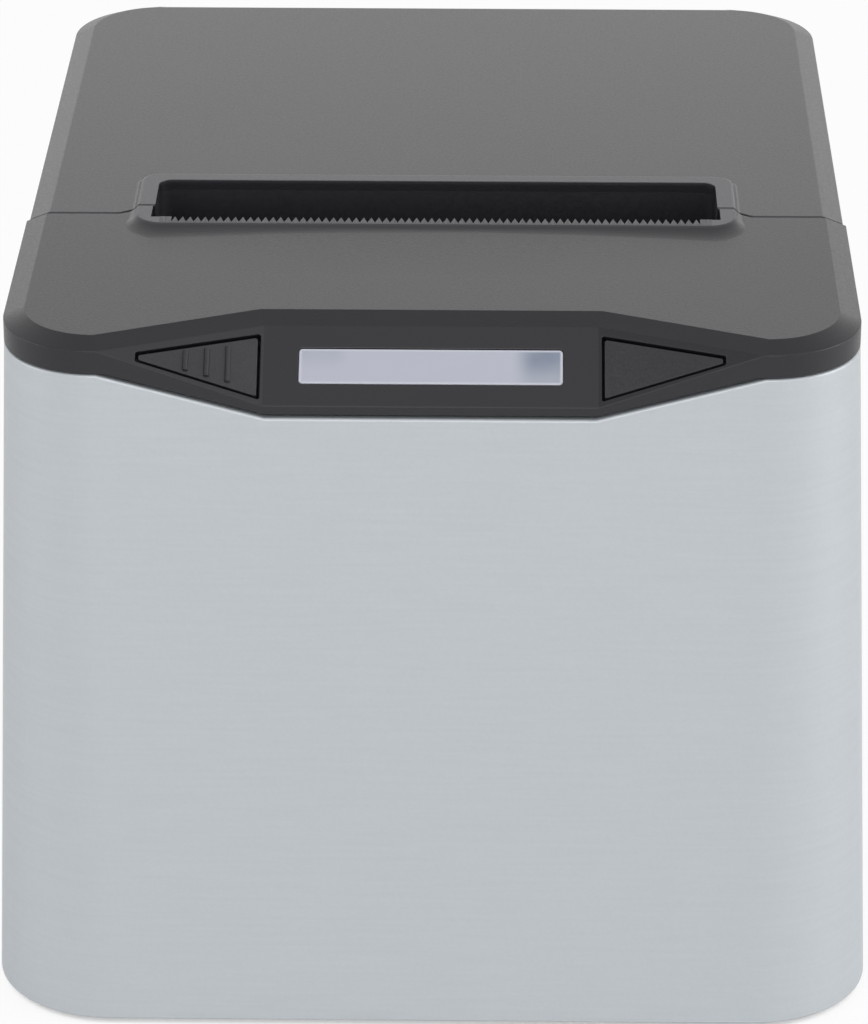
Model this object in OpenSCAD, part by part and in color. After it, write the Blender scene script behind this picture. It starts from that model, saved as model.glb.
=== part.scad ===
// Thermal receipt printer for 80 mm paper. Lengths in mm, front towards -Y, table at z 0.

/* [Casing] */
// Room beside the paper for the gears and the walls
side_room = 20; // [19.5:0.25:25]
// Depth of the casing at its rim
body_d = 145; // [143:1:155]
// Height of the top face above the table
body_h = 106; // [104:1:114]
// Radius of the upright corners at the rim
corner_r = 13.5; // [11:0.5:15]
// Growth of each side from the rim down to the base
draft_run = 4; // [2:0.25:5]
// Wall of the casing
shell_wall = 2; // [1.6:0.1:2.2]
// Height of the feet below the casing
foot_h = 1; // [0.6:0.1:1.6]
// Radius of a rubber foot
foot_r = 6; // [4:0.5:7]
// Thickness of the tray floor
floor_t = 2; // [1.8:0.1:2.4]
// Gap between the tray and the casing
tray_gap = 0.3; // [0.2:0.05:0.5]

/* [Top] */
// Wall of the front cover and the lid
cover_wall = 1.8; // [1.6:0.1:2]
// Height of the upright band below the chamfer
band_h = 3.4; // [3:0.1:3.8]
// Width of the top chamfer in plan
chamfer_run = 3; // [2:0.25:3.5]
// Drop of the top chamfer
chamfer_drop = 1.2; // [0.8:0.1:1.4]
// Gap between the rim of the casing and the top pieces
rim_gap = 0.2; // [0.15:0.05:0.4]
// Gap between the lid and the front cover
part_gap = 0.4; // [0.3:0.05:0.6]
// Step of the lid's sides behind those of the front cover
lid_inset = 0.4; // [0.2:0.1:0.6]
// Depth of the front cover at its sides
cover_d = 49.2; // [48:0.2:50]
// Free width of the paper slot beyond the paper
slot_clear = 2.4; // [2:0.1:2.8]
// Distance from the parting line back to the slot's rear edge
slot_back_run = 11.8; // [11.5:0.1:12.4]
// Distance from the parting line forward to the tooth tips
tear_run = 3.4; // [3:0.1:3.8]
// Reach of the front cover's ends beside the slot
ear_run = 1.3; // [1:0.1:1.6]
// Height of the raised lip below the tear bar
lip_h = 1.1; // [0.8:0.1:1.4]
// Height of the lid's raised rim around the slot
rim_h = 0.5; // [0.3:0.1:0.8]
// Width of the raised rim and lip at the slot's ends
rim_w = 2.5; // [2:0.1:2.6]
// Pitch of the tear bar's teeth
tooth_pitch = 1.1; // [1:0.1:1.6]
// Length of a tooth
tooth_len = 2; // [1.6:0.1:2.2]
// Thickness of the tear bar
tear_t = 0.8; // [0.6:0.1:1]

/* [Panel] */
// Half width of the panel's centre face
fold_x = 23.25; // [22.8:0.1:24]
// Depth of the panel's slope in plan
panel_run = 9.8; // [9.4:0.1:10.4]
// Height of the panel's slope
panel_drop = 8; // [7.6:0.1:8.4]
// Height of the dark band below the panel's centre face
sill_h = 1.8; // [1.4:0.1:2.2]
// Width of the light window
window_w = 36.8; // [34:0.2:36.8]
// Height of the light window along the slope
window_h = 5.6; // [4.5:0.1:5.7]
// Distance from a button's tip to the panel's tip
button_end = 5.5; // [5:0.1:7]
// Height of a button's wide end
button_h = 10.3; // [9.8:0.1:10.4]
// Gap around a button
button_gap = 0.4; // [0.3:0.05:0.5]
// Travel of the feed button
feed_travel = 0.8; // [0.5:0.1:1]

/* [Paper path] */
// Depth of the print mechanism behind the front cover's edge
mech_back = 15.8; // [15.5:0.1:20]
// Height of the lid above the roll and the boards below it
stack_h = 26; // [25.5:0.5:30]
// Width of the paper
paper_w = 80; // [79:0.1:80.4]
// Free space around the paper roll
roll_clear = 1; // [0.7:0.1:1.2]
// Wall of the paper bucket
bucket_wall = 2; // [1.8:0.1:2.2]
// Depth of the bucket's front lip below the platen's axis
bucket_lip = 26; // [25.5:0.5:28]
// Radius of the platen roller
platen_r = 6; // [5.6:0.1:6.2]
// Radius of the platen shaft's core
core_r = 3; // [2.6:0.1:3.4]
// Radius of the platen shaft's ends
shaft_r = 2.2; // [2:0.1:2.3]
// Outer radius of a platen bush
bush_r = 3.4; // [3:0.1:3.6]
// Height of the platen's axis below the top face
platen_drop = 18; // [17.5:0.25:19]
// Lean of the thermal head
head_tilt = 16; // [14:1:18]
// Gap at the nip between head and platen
nip_gap = 0.3; // [0.2:0.05:0.4]
// Thickness of the heat sink
sink_t = 4; // [3.4:0.1:4.4]
// Radius of the head's pivot pin
pivot_r = 1.5; // [1.3:0.1:1.7]
// Length of a head spring
spring_l = 8; // [7:0.25:8.5]

/* [Drive] */
// Tooth module of the gears
gear_m = 0.8; // [0.76:0.01:0.82]
// Teeth of the platen gear
platen_n = 18; // [17:1:18]
// Teeth of the idler gear
idler_n = 30; // [28:1:31]
// Teeth of the small and the motor pinion
pinion_n = 16; // [16:1:17]
// Teeth of the reduction wheel
wheel_n = 40; // [38:1:41]
// Width of the platen gear's plane
gear_w = 4; // [3.6:0.1:4.2]
// Width of the reduction wheel
wheel_w = 3.4; // [3:0.1:3.6]
// Backlash at the pitch circle
backlash = 0.12; // [0.1:0.01:0.18]
// Radius of a gear post
post_r = 2; // [1.8:0.1:2.2]
// Radius of the motor shaft
motor_shaft_r = 1.5; // [1.3:0.1:1.8]
// Radius of the stepper motor
motor_r = 17.5; // [16:0.25:18]
// Height of the motor above the frame's floor as a share of the reduction gear's
motor_share = 0.7212; // [0.7:0.01:0.76]
// Length of the stepper motor
motor_l = 21; // [18:0.5:23]
// Radial clearance of a running fit
run_fit = 0.05; // [0.03:0.01:0.08]
// Thickness of the frame's plates
plate_t = 1.5; // [1.3:0.1:1.6]

/* [Hinge and latch] */
// Distance of the hinge axis below the top and inside the rear face
hinge_in = 4.5; // [4.3:0.1:4.8]
// Radius of the lid's hinge barrel
hinge_r = 4.9; // [4.8:0.05:5.1]
// Gap between the hinge barrel and the casing
barrel_gap = 0.3; // [0.25:0.05:0.5]
// Radius of the hinge pin
pin_r = 1.5; // [1.3:0.1:1.7]
// Radius of a hinge ear
ear_r = 3.3; // [3:0.1:3.4]
// Width of a hinge ear
ear_w = 7; // [6:0.5:9]
// Distance of a hinge ear from the middle
ear_x = 33.5; // [30:0.5:36]
// Radius of the latch shaft
latch_r = 2; // [1.7:0.1:2.2]

/* [Boards and sockets] */
// Thickness of a circuit board
board_t = 1.6; // [1.2:0.1:1.8]
// Height of the main board's standoffs
standoff_h = 3; // [2.6:0.1:3.2]
// Thickness of the socket plate
io_t = 1.5; // [1.2:0.1:1.8]
// Gap around each socket
io_gap = 0.25; // [0.2:0.05:0.4]
// Radius of a screw's shank
screw_r = 1.3; // [1.1:0.1:1.4]
// Height of a screw's head
screw_head = 1.2; // [1:0.1:1.4]

/* [Hidden] */
$fn = 64;
far = 200;

// Outline and heights
hx = paper_w / 2 + side_room;
hy = body_d / 2;
top = body_h;
band_top = top - chamfer_drop;
cover_z = band_top - band_h;
rim_z = cover_z - rim_gap;
under = top - cover_wall;
floor_z = foot_h + floor_t;
function spread(z) = draft_run * (rim_z - z) / (rim_z - foot_h);

// Plan lines across the top
part_y = -hy + cover_d;
ear_y = part_y + ear_run;
slot_w = paper_w + slot_clear;
slot_hx = slot_w / 2;
slot_y = part_y + slot_back_run;
tip_y = part_y - tear_run;
root_y = tip_y - tooth_len;
lip_y = root_y - 1;
step_x = slot_hx + rim_w + 2;

// Panel frame
panel_a = atan2(panel_drop, panel_run);
panel_len = sqrt(panel_drop * panel_drop + panel_run * panel_run);
fold_y = -hy + panel_run;
panel_my = -hy + panel_run / 2;
panel_mz = band_top - panel_drop / 2;
tip_x = hx - corner_r - 0.5;
fold_a = atan2(panel_run * sin(panel_a), tip_x - fold_x);
chamfer_a = atan2(chamfer_drop, chamfer_run);
edge_a = atan2(-panel_run, tip_x - fold_x);
notch_z = band_top - panel_drop - sill_h;
notch_a = atan2(rim_z - notch_z, tip_x + 0.5 - fold_x);
function notch_x(z, gap) = fold_x - 0.25 + (cos(notch_a) * (z - notch_z) - gap) / sin(notch_a);
button_x0 = 0.45;
button_l = (tip_x - fold_x) / cos(fold_a) - button_x0 - button_end;
button_mid = -0.25;
button_tip_y = -1.25;
button_tip_h = 1.4;
hole_2d = [[button_x0, button_mid + button_h / 2], [button_x0, button_mid - button_h / 2],
    [button_x0 + button_l, button_tip_y - button_tip_h / 2], [button_x0 + button_l, button_tip_y + button_tip_h / 2]];
stem_x = 7;
stem_r = 1.6;
stem_tip = -9;
flange_t = 1;
board_gap = 6.2;
board_lz = -cover_wall - board_gap;
boss_x = fold_x - 2.55;

// Hinge
hinge_y = hy - hinge_in;
hinge_z = top - hinge_in;

// Bucket
roll_d = min(body_d - cover_d - mech_back, body_h - stack_h);
bucket_r = roll_d / 2 + roll_clear;
bucket_ro = bucket_r + bucket_wall;
bucket_hx = paper_w / 2 + roll_clear;
bucket_y = hy - shell_wall - 1 - bucket_ro;
bucket_z = top - 9 - roll_d / 2;
wall_z = top - 14;
lug_z = bucket_z - 0.66 * bucket_r;
lug_t = 3;
lug_x = bucket_hx + bucket_wall + 7;
lug_ys = [bucket_y - 0.45 * bucket_r, bucket_y + 0.62 * bucket_r];

// Platen and its arms
arm_t = 2.4;
arm_x = bucket_hx + bucket_wall + 0.6;
arm_r = bush_r + 1.2;
platen_y = part_y + 9.8;
platen_z = top - platen_drop;
lip_z = platen_z - bucket_lip;
rel_y = platen_y - hinge_y;
rel_z = platen_z - hinge_z;
lift_a = atan2(-rel_y, rel_z);
liner_z = under - 4.6;
liner_t = 1.6;

// Frame and gear planes
plate_x = arm_x + arm_t + 1;
plane1_x = plate_x + plate_t + 1.1;
plane2_x = plane1_x + gear_w + 0.6;
frame_z = floor_z + 7;
frame_front = -hy + 10.5;
frame_back = platen_y + 13.5;
frame_top = platen_z + 6;
tab_y = frame_front + 15;
tab_x = plate_x + plate_t + 4.5;

// Gear train
mesh_gap = 0.04;
r_platen = gear_m * platen_n / 2;
r_idler = gear_m * idler_n / 2;
r_pinion = gear_m * pinion_n / 2;
r_wheel = gear_m * wheel_n / 2;
a_idler = lift_a + 180;
idler_y = platen_y + (r_platen + r_idler + mesh_gap) * cos(a_idler);
idler_z = platen_z + (r_platen + r_idler + mesh_gap) * sin(a_idler);
a_red = 215;
red_y = idler_y + (r_idler + r_pinion + mesh_gap) * cos(a_red);
red_z = idler_z + (r_idler + r_pinion + mesh_gap) * sin(a_red);
a_mot = 180 + asin((1 - motor_share) * (red_z - frame_z) / (r_wheel + r_pinion + mesh_gap));
motor_y = red_y + (r_wheel + r_pinion + mesh_gap) * cos(a_mot);
motor_z = red_z + (r_wheel + r_pinion + mesh_gap) * sin(a_mot);
function mesh_phase(ph, na, nb, dir) = dir + 180 - (ph - dir) * na / nb + 180 / nb;
ph_idler = 0;
ph_platen = mesh_phase(ph_idler, idler_n, platen_n, a_idler + 180);
ph_small = mesh_phase(ph_idler, idler_n, pinion_n, a_red);
ph_wheel = 0;
ph_motor = mesh_phase(ph_wheel, wheel_n, pinion_n, a_mot);

// Thermal head
nip_y = platen_y - (platen_r + nip_gap) * cos(head_tilt);
nip_z = platen_z - (platen_r + nip_gap) * sin(head_tilt);
head_hx = bucket_hx + 1.5;
chip_t = 1;
pivot_ly = -chip_t - 2.2;
pivot_lz = -16;
pivot_y = nip_y + pivot_ly * cos(head_tilt) - pivot_lz * sin(head_tilt);
pivot_z = nip_z + pivot_ly * sin(head_tilt) + pivot_lz * cos(head_tilt);
seat_ly = -chip_t - sink_t - spring_l;
barrel_r = pivot_r + 1.7;
spring_x = 22;
spring_rm = 2.6;
wire_r = 0.4;

// Latch
latch_y = platen_y - 26.5;
latch_z = platen_z - 12;
nose_y = platen_y - arm_r - 1.9;
hook_t = 1.6;
hook_x = arm_x + (arm_t - hook_t) / 2;
release_x = fold_x + stem_x * cos(fold_a);
pad_y = panel_my - stem_tip * sin(panel_a);
pad_z = panel_mz + stem_tip * cos(panel_a) - stem_r * sin(panel_a) - 0.5;

// Boards and sockets
board_z = floor_z + standoff_h;
board_top = board_z + board_t;
board_hx = bucket_hx + 3;
board_y0 = bucket_y - bucket_r + 0.5;
board_y1 = hy - shell_wall - 1.5;
board_holes = [for (s = [-1, 1], y = [board_y0 + 6, board_y1 - 19.5]) [s * (board_hx - 6), y]];
frame_holes = [for (s = [-1, 1], y = [8, 34]) [s * (plate_x - 7), frame_front + y]];
io_hx = bucket_hx;
io_z0 = floor_z + 1;
io_h = 18;
io_y1 = hy - shell_wall + spread(io_z0 + io_h) - io_gap - 0.01;
io_y0 = io_y1 - io_t;
io_lip = 1.5;
switch_x = board_hx - 14;
drawer_x = switch_x / 3;
usb_x = -drawer_x;
jack_x = -switch_x;
rocker_y = io_y1 - 2.2;
rocker_z = board_top + 5.6;
screw_fit = 0.05;

// Small helpers
module along_x(x0, len) {
    translate([x0, 0, 0])
        rotate([90, 0, 90])
            linear_extrude(height = len)
                children();
}
module rod(x0, x1, r, y, z) {
    translate([x0, y, z])
        rotate([0, 90, 0])
            cylinder(h = x1 - x0, r = r);
}
module box(x0, x1, y0, y1, z0, z1) {
    translate([x0, y0, z0])
        cube([x1 - x0, y1 - y0, z1 - z0]);
}
module both_sides() {
    children();
    mirror([1, 0, 0])
        children();
}
module plan(px, py, r) {
    square([2 * px, 2 * (py - r)], center = true);
    square([2 * (px - r), 2 * py], center = true);
    for (sx = [-1, 1], sy = [-1, 1])
        translate([sx * (px - r), sy * (py - r)])
            circle(r = r);
}
module prism(px, py, r, z0, z1) {
    translate([0, 0, z0])
        linear_extrude(height = z1 - z0)
            plan(px, py, r);
}
// Rounded block whose sides lean in by grow from z0 to z1
module taper(px, py, r, grow, z0, z1) {
    for (sx = [-1, 1], sy = [-1, 1])
        translate([sx * (px - r), sy * (py - r), z0])
            cylinder(h = z1 - z0, r1 = r + grow, r2 = r);
    along_x(-(px - r), 2 * (px - r))
        polygon([[-py - grow, z0], [py + grow, z0], [py, z1], [-py, z1]]);
    rotate([90, 0, 0])
        linear_extrude(height = 2 * (py - r), center = true)
            polygon([[-px - grow, z0], [px + grow, z0], [px, z1], [-px, z1]]);
}
module screw_up(x, y, z, len) {
    translate([x, y, z])
        cylinder(h = len, r = screw_r);
    translate([x, y, z - screw_head])
        cylinder(h = screw_head, r = 2 * screw_r);
}
module screw_down(x, y, z, len) {
    translate([x, y, z - len])
        cylinder(h = len, r = screw_r);
    translate([x, y, z])
        cylinder(h = screw_head, r = 2 * screw_r);
}
module on_panel() {
    translate([0, panel_my, panel_mz])
        rotate([panel_a, 0, 0])
            children();
}
module on_facet(s) {
    on_panel()
        mirror([s < 0 ? 1 : 0, 0, 0])
            translate([fold_x, 0, 0])
                rotate([0, -fold_a, 0])
                    children();
}
module on_head() {
    translate([0, nip_y, nip_z])
        rotate([head_tilt, 0, 0])
            children();
}
module slab(d) {
    translate([-far, -far, -d])
        cube([2 * far, 2 * far, far]);
}
// Convex outline moved out by d, in for a negative d
function edge_n(p, i) = let (a = p[i], b = p[(i + 1) % len(p)], v = b - a, l = norm(v)) [v[1] / l, -v[0] / l];
function corner(p, i, d) = let (n = len(p), a = edge_n(p, (i + n - 1) % n), b = edge_n(p, i), k = 1 + a * b)
    p[i] + d * (a + b) / k;
function moved(p, d) = [for (i = [0 : len(p) - 1]) corner(p, i, d)];

// Coil of round wire about +Z, one closed tube
module coil(rm, rw, len, turns) {
    ns = 6;
    nr = 10 * turns;
    function ring(i) = let (a = 360 * turns * i / nr, h = rw + (len - 2 * rw) * i / nr)
        [for (j = [0 : ns - 1]) let (b = 360 * j / ns, q = rm + rw * cos(b))
            [q * cos(a), q * sin(a), h + rw * sin(b)]];
    pts = [for (i = [0 : nr]) each ring(i)];
    sides = [for (i = [0 : nr - 1], j = [0 : ns - 1], k = [0, 1])
        k == 0 ? [i * ns + j, (i + 1) * ns + j, i * ns + (j + 1) % ns]
            : [i * ns + (j + 1) % ns, (i + 1) * ns + j, (i + 1) * ns + (j + 1) % ns]];
    first = [for (j = [1 : ns - 2]) [0, j, j + 1]];
    last = [for (j = [1 : ns - 2]) [nr * ns, nr * ns + j + 1, nr * ns + j]];
    polyhedron(points = pts, faces = concat(sides, first, last));
}

// Involute gear outline, a tooth at angle ph
function inva(rb, r) = let (a = acos(min(1, rb / r))) tan(a) * 180 / PI - a;
function half_a(rp, rb, n, r) = 90 / n - backlash / rp * 45 / PI * 2 + inva(rb, rp) - inva(rb, max(rb, r));
function polar(r, a) = [r * cos(a), r * sin(a)];
module gear_2d(n, ph) {
    rp = gear_m * n / 2;
    rb = rp * cos(20);
    ro = rp + 0.85 * gear_m;
    rr = rp - 1.15 * gear_m;
    r0 = max(rb, rr);
    rs = [rr, r0 + 0.001, (r0 + ro) / 2, ro];
    polygon([for (k = [0 : n - 1]) let (c = ph + 360 * k / n)
        each concat([for (r = rs) polar(r, c - half_a(rp, rb, n, r))],
            [for (i = [3 : -1 : 0]) polar(rs[i], c + half_a(rp, rb, n, rs[i]))])]);
}
module gear(n, ph, x0, w, y, z, bore) {
    difference() {
        translate([0, y, z])
            along_x(x0, w)
                gear_2d(n, ph);
        rod(x0 - 1, x0 + w + 1, bore, y, z);
    }
}

// Casing
boss_r = 3.5;
boss_top = 26;
boss_at = corner_r + spread(boss_top) - shell_wall - boss_r + 0.6;
boss_px = hx - corner_r + boss_at * sin(45);
boss_py = hy - corner_r + boss_at * sin(45);
module outer_shell() {
    color("silver")
        difference() {
            union() {
                difference() {
                    taper(hx, hy, corner_r, draft_run, foot_h, rim_z);
                    translate([0, 0, -0.5])
                        taper(hx - shell_wall, hy - shell_wall, corner_r - shell_wall,
                            draft_run * (rim_z - foot_h + 2) / (rim_z - foot_h), foot_h - 0.5, rim_z + 1.5);
                }
                for (sx = [-1, 1], sy = [-1, 1])
                    translate([sx * boss_px, sy * boss_py, floor_z])
                        cylinder(h = boss_top - floor_z, r = boss_r);
            }
            for (sx = [-1, 1], sy = [-1, 1])
                translate([sx * boss_px, sy * boss_py, floor_z - 1])
                    cylinder(h = 12, r = screw_r + screw_fit);
            translate([0, -hy + 8, 0])
                rotate([90, 0, 0])
                    linear_extrude(height = 14)
                        polygon([[-notch_x(rim_z + 2, 0), rim_z + 2], [-notch_x(notch_z, 0), notch_z],
                            [notch_x(notch_z, 0), notch_z], [notch_x(rim_z + 2, 0), rim_z + 2]]);
            rod(-far, far, hinge_r + barrel_gap, hinge_y, hinge_z);
            box(-io_hx + io_lip, io_hx - io_lip, hy - 8, hy + 9, io_z0 + io_lip, io_z0 + io_h - io_lip);
        }
}
tray_in = shell_wall + tray_gap - spread(floor_z);
foot_x = hx - 14;
foot_y = hy - 16;
module base_tray() {
    color("dimgray")
        difference() {
            union() {
                prism(hx - tray_in, hy - tray_in, corner_r - tray_in, foot_h, floor_z);
                for (p = frame_holes)
                    translate([p[0], p[1], floor_z - 0.5])
                        cylinder(h = frame_z - floor_z + 0.5, r = 4);
                for (p = board_holes)
                    translate([p[0], p[1], floor_z - 0.5])
                        cylinder(h = standoff_h + 0.5, r = 3);
                for (sx = [-1, 1], y = lug_ys)
                    translate([sx * lug_x, y, floor_z - 0.5])
                        cylinder(h = lug_z - floor_z + 0.5, r = 4);
            }
            for (p = frame_holes)
                translate([p[0], p[1], frame_z - 5])
                    cylinder(h = 6, r = screw_r + screw_fit);
            for (p = board_holes)
                translate([p[0], p[1], board_z - 3])
                    cylinder(h = 4, r = screw_r + screw_fit);
            for (sx = [-1, 1], y = lug_ys)
                translate([sx * lug_x, y, lug_z - 9])
                    cylinder(h = 10, r = screw_r + screw_fit);
            for (sx = [-1, 1], sy = [-1, 1]) {
                translate([sx * foot_x, sy * foot_y, foot_h - 1])
                    cylinder(h = 1.8, r = foot_r + 0.1);
                translate([sx * boss_px, sy * boss_py, 0])
                    cylinder(h = far, r = screw_r + 0.2);
                translate([sx * boss_px, sy * boss_py, foot_h - 1])
                    cylinder(h = 1 + screw_head, r = 2 * screw_r + 0.2);
            }
        }
}
module rubber_feet() {
    color("black")
        for (sx = [-1, 1], sy = [-1, 1])
            translate([sx * foot_x, sy * foot_y, 0])
                cylinder(h = foot_h + 0.8, r = foot_r);
}
module tray_screws() {
    color("gainsboro")
        for (sx = [-1, 1], sy = [-1, 1])
            screw_up(sx * boss_px, sy * boss_py, foot_h + screw_head, 10);
}

// Front cover
module cap(px, z0) {
    grow = (top + 1 - z0) * chamfer_run / (top - band_top);
    intersection() {
        prism(px, hy, corner_r, z0, top + 1);
        taper(px - chamfer_run, hy - chamfer_run, corner_r - chamfer_run, grow, z0 - 1, top);
    }
}
module panel_cut(d) {
    intersection() {
        on_panel()
            slab(d);
        on_facet(1)
            slab(d);
        on_facet(-1)
            slab(d);
    }
}
module chamfer_cut() {
    intersection() {
        translate([0, fold_y, band_top])
            rotate([chamfer_a, 0, 0])
                slab(0);
        translate([fold_x, fold_y, band_top])
            rotate([0, 0, edge_a])
                rotate([chamfer_a, 0, 0])
                    slab(0);
        mirror([1, 0, 0])
            translate([fold_x, fold_y, band_top])
                rotate([0, 0, edge_a])
                    rotate([chamfer_a, 0, 0])
                        slab(0);
        box(-far, far, -far, 0, notch_z, top + 5);
    }
}
module cover_plan(g) {
    polygon([[-far, -far], [far, -far], [far, part_y - g], [step_x, part_y - g], [step_x - 2, ear_y - g],
        [-step_x + 2, ear_y - g], [-step_x, part_y - g], [-far, part_y - g]]);
}
lip_end = slot_hx + rim_w;
module lip_plan() {
    difference() {
        union() {
            translate([-lip_end, lip_y + 4])
                square([2 * lip_end, ear_y - part_gap / 2 - lip_y - 4]);
            translate([-lip_end + 4, lip_y])
                square([2 * lip_end - 8, 5]);
            for (s = [-1, 1])
                translate([s * (lip_end - 4), lip_y + 4])
                    circle(r = 4);
        }
        translate([-slot_hx, tip_y])
            square([slot_w, 40]);
    }
}
tear_hx = slot_hx - 1;
module front_cover() {
    color("#6b6b6d")
        difference() {
            union() {
                intersection() {
                    cap(hx, cover_z);
                    linear_extrude(height = far)
                        cover_plan(part_gap / 2);
                }
                translate([0, 0, under])
                    linear_extrude(height = cover_wall + lip_h)
                        lip_plan();
                intersection() {
                    prism(hx, hy, corner_r, notch_z, cover_z + 1);
                    translate([0, fold_y + 1, 0])
                        rotate([90, 0, 0])
                            linear_extrude(height = panel_run + 2)
                                polygon([[-notch_x(cover_z + 2, rim_gap), cover_z + 2],
                                    [-notch_x(notch_z + rim_gap, rim_gap), notch_z + rim_gap],
                                    [notch_x(notch_z + rim_gap, rim_gap), notch_z + rim_gap],
                                    [notch_x(cover_z + 2, rim_gap), cover_z + 2]]);
                }
                for (s = [-1, 1])
                    translate([s * tab_x, tab_y, frame_top + 0.05])
                        cylinder(h = under + 0.4 - frame_top, r = 3.2);
                on_panel()
                    for (s = [-1, 1])
                        translate([s * boss_x, 0, board_lz])
                            cylinder(h = board_gap + 0.5, r = 1.6);
            }
            panel_cut(0);
            chamfer_cut();
            difference() {
                prism(hx - cover_wall, hy - cover_wall, corner_r - cover_wall, notch_z - 5, under);
                panel_cut(cover_wall);
                for (s = [-1, 1])
                    translate([s * tab_x, tab_y, 0])
                        cylinder(h = far, r = 3.2);
                on_panel()
                    for (s = [-1, 1])
                        translate([s * boss_x, 0, board_lz])
                            cylinder(h = board_gap + 2, r = 1.6);
            }
            for (s = [-1, 1])
                translate([s * tab_x, tab_y, frame_top - 1])
                    cylinder(h = 8, r = screw_r + screw_fit);
            on_panel()
                for (s = [-1, 1])
                    translate([s * boss_x, 0, board_lz - 1])
                        cylinder(h = 5, r = 0.8 + screw_fit);
            on_panel()
                translate([0, 0, -cover_wall - 1])
                    linear_extrude(height = cover_wall + 3)
                        plan(window_w / 2, window_h / 2, 0.6);
            for (s = [-1, 1])
                button_shaft(s, 0);
            box(-slot_hx, slot_hx, tip_y, 0, 0, far);
            box(-tear_hx, tear_hx, root_y - 0.1, 0, 0, far);
            box(-tear_hx - run_fit, tear_hx + run_fit, lip_y + 0.35, 0, top + lip_h - tear_t, far);
        }
}
module button_shaft(s, d) {
    on_panel()
        mirror([s < 0 ? 1 : 0, 0, 0])
            translate([fold_x, 0, -cover_wall - 4])
                linear_extrude(height = cover_wall + 14)
                    polygon([for (p = moved(hole_2d, -d)) [p[0] * cos(fold_a), p[1]]]);
}
module cover_screws() {
    color("gainsboro")
        for (s = [-1, 1])
            screw_up(s * tab_x, tab_y, frame_top - plate_t, 7.5);
}
teeth = floor((2 * tear_hx - 3) / tooth_pitch);
module tear_bar() {
    color("#8a8a8c")
        translate([0, 0, top + lip_h - tear_t])
            linear_extrude(height = tear_t)
                polygon(concat([[-tear_hx, tip_y], [-tear_hx, lip_y + 0.4], [tear_hx, lip_y + 0.4], [tear_hx, tip_y]],
                    [for (k = [0 : teeth]) each [
                        [teeth * tooth_pitch / 2 + 0.02 - k * tooth_pitch, root_y],
                        if (k < teeth) [teeth * tooth_pitch / 2 - (k + 0.5) * tooth_pitch, tip_y]]]));
}
module status_window() {
    color("#bcbfcb")
        on_panel() {
            translate([0, 0, -cover_wall - 1.2])
                linear_extrude(height = cover_wall + 1.1)
                    plan(window_w / 2 - 0.05, window_h / 2 - 0.05, 0.55);
            translate([0, 0, -cover_wall - 1.25])
                linear_extrude(height = 1.2)
                    square([window_w + 1, window_h + 1.6], center = true);
        }
}

// Panel board
switch_lx = -release_x;
module panel_board() {
    color("darkgreen")
        difference() {
            on_panel()
                box(-tip_x + 2, fold_x - 0.7, -6, 6, board_lz - board_t, board_lz - 0.05);
            on_panel()
                for (s = [-1, 1])
                    translate([s * boss_x, 0, board_lz - 5])
                        cylinder(h = 8, r = 0.8 + screw_fit);
        }
}
module status_lamps() {
    color("ivory")
        on_panel()
            for (x = [-12, 0, 12])
                box(x - 1.6, x + 1.6, -1.4, 1.4, board_lz, board_lz + 1.1);
}
module panel_screws() {
    color("gainsboro")
        on_panel()
            for (s = [-1, 1]) {
                translate([s * boss_x, 0, board_lz - board_t])
                    cylinder(h = 5, r = 0.8);
                translate([s * boss_x, 0, board_lz - board_t - 1])
                    cylinder(h = 1, r = 1.5);
            }
}
plunger_r = 1.6;
switch_h = 3.4;
plunger_z = board_lz + switch_h + cover_wall - 0.7;
module feed_switch() {
    color("dimgray")
        on_panel()
            difference() {
                box(switch_lx - 3, switch_lx + 3, -3, 3, board_lz, board_lz + switch_h);
                translate([switch_lx, 0, board_lz + switch_h - 1.2 - feed_travel])
                    cylinder(h = 5, r = plunger_r + run_fit);
            }
}
module button(s) {
    intersection() {
        button_shaft(s, button_gap);
        on_facet(s)
            translate([-far, -far, -cover_wall - flange_t - 0.35])
                cube([2 * far, 2 * far, cover_wall + flange_t + 0.25]);
    }
    intersection() {
        on_facet(s)
            translate([0, 0, -cover_wall - flange_t - 0.35])
                linear_extrude(height = flange_t)
                    polygon(moved(hole_2d, 0.3));
        prism(hx - cover_wall - 0.2, hy - cover_wall - 0.2, corner_r - cover_wall, 0, top);
    }
}
module feed_button() {
    color("#424346") {
        button(-1);
        for (x = [5, 8, 11])
            on_facet(-1)
                translate([x, 0, -0.15])
                    linear_extrude(height = 0.45)
                        square([0.8, 7.6 - 0.42 * x], center = true);
        on_panel()
            translate([switch_lx, 0, plunger_z + 0.05])
                cylinder(h = 0.45 - plunger_z, r = stem_r);
    }
}
module feed_plunger() {
    color("black")
        on_panel()
            translate([switch_lx, 0, board_lz + switch_h - 1])
                cylinder(h = plunger_z - board_lz - switch_h + 1, r = plunger_r);
}
module release_button() {
    color("#424346") {
        button(1);
        on_panel()
            translate([release_x, 0, stem_tip])
                cylinder(h = 0.5 - stem_tip, r = stem_r);
    }
}

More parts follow.
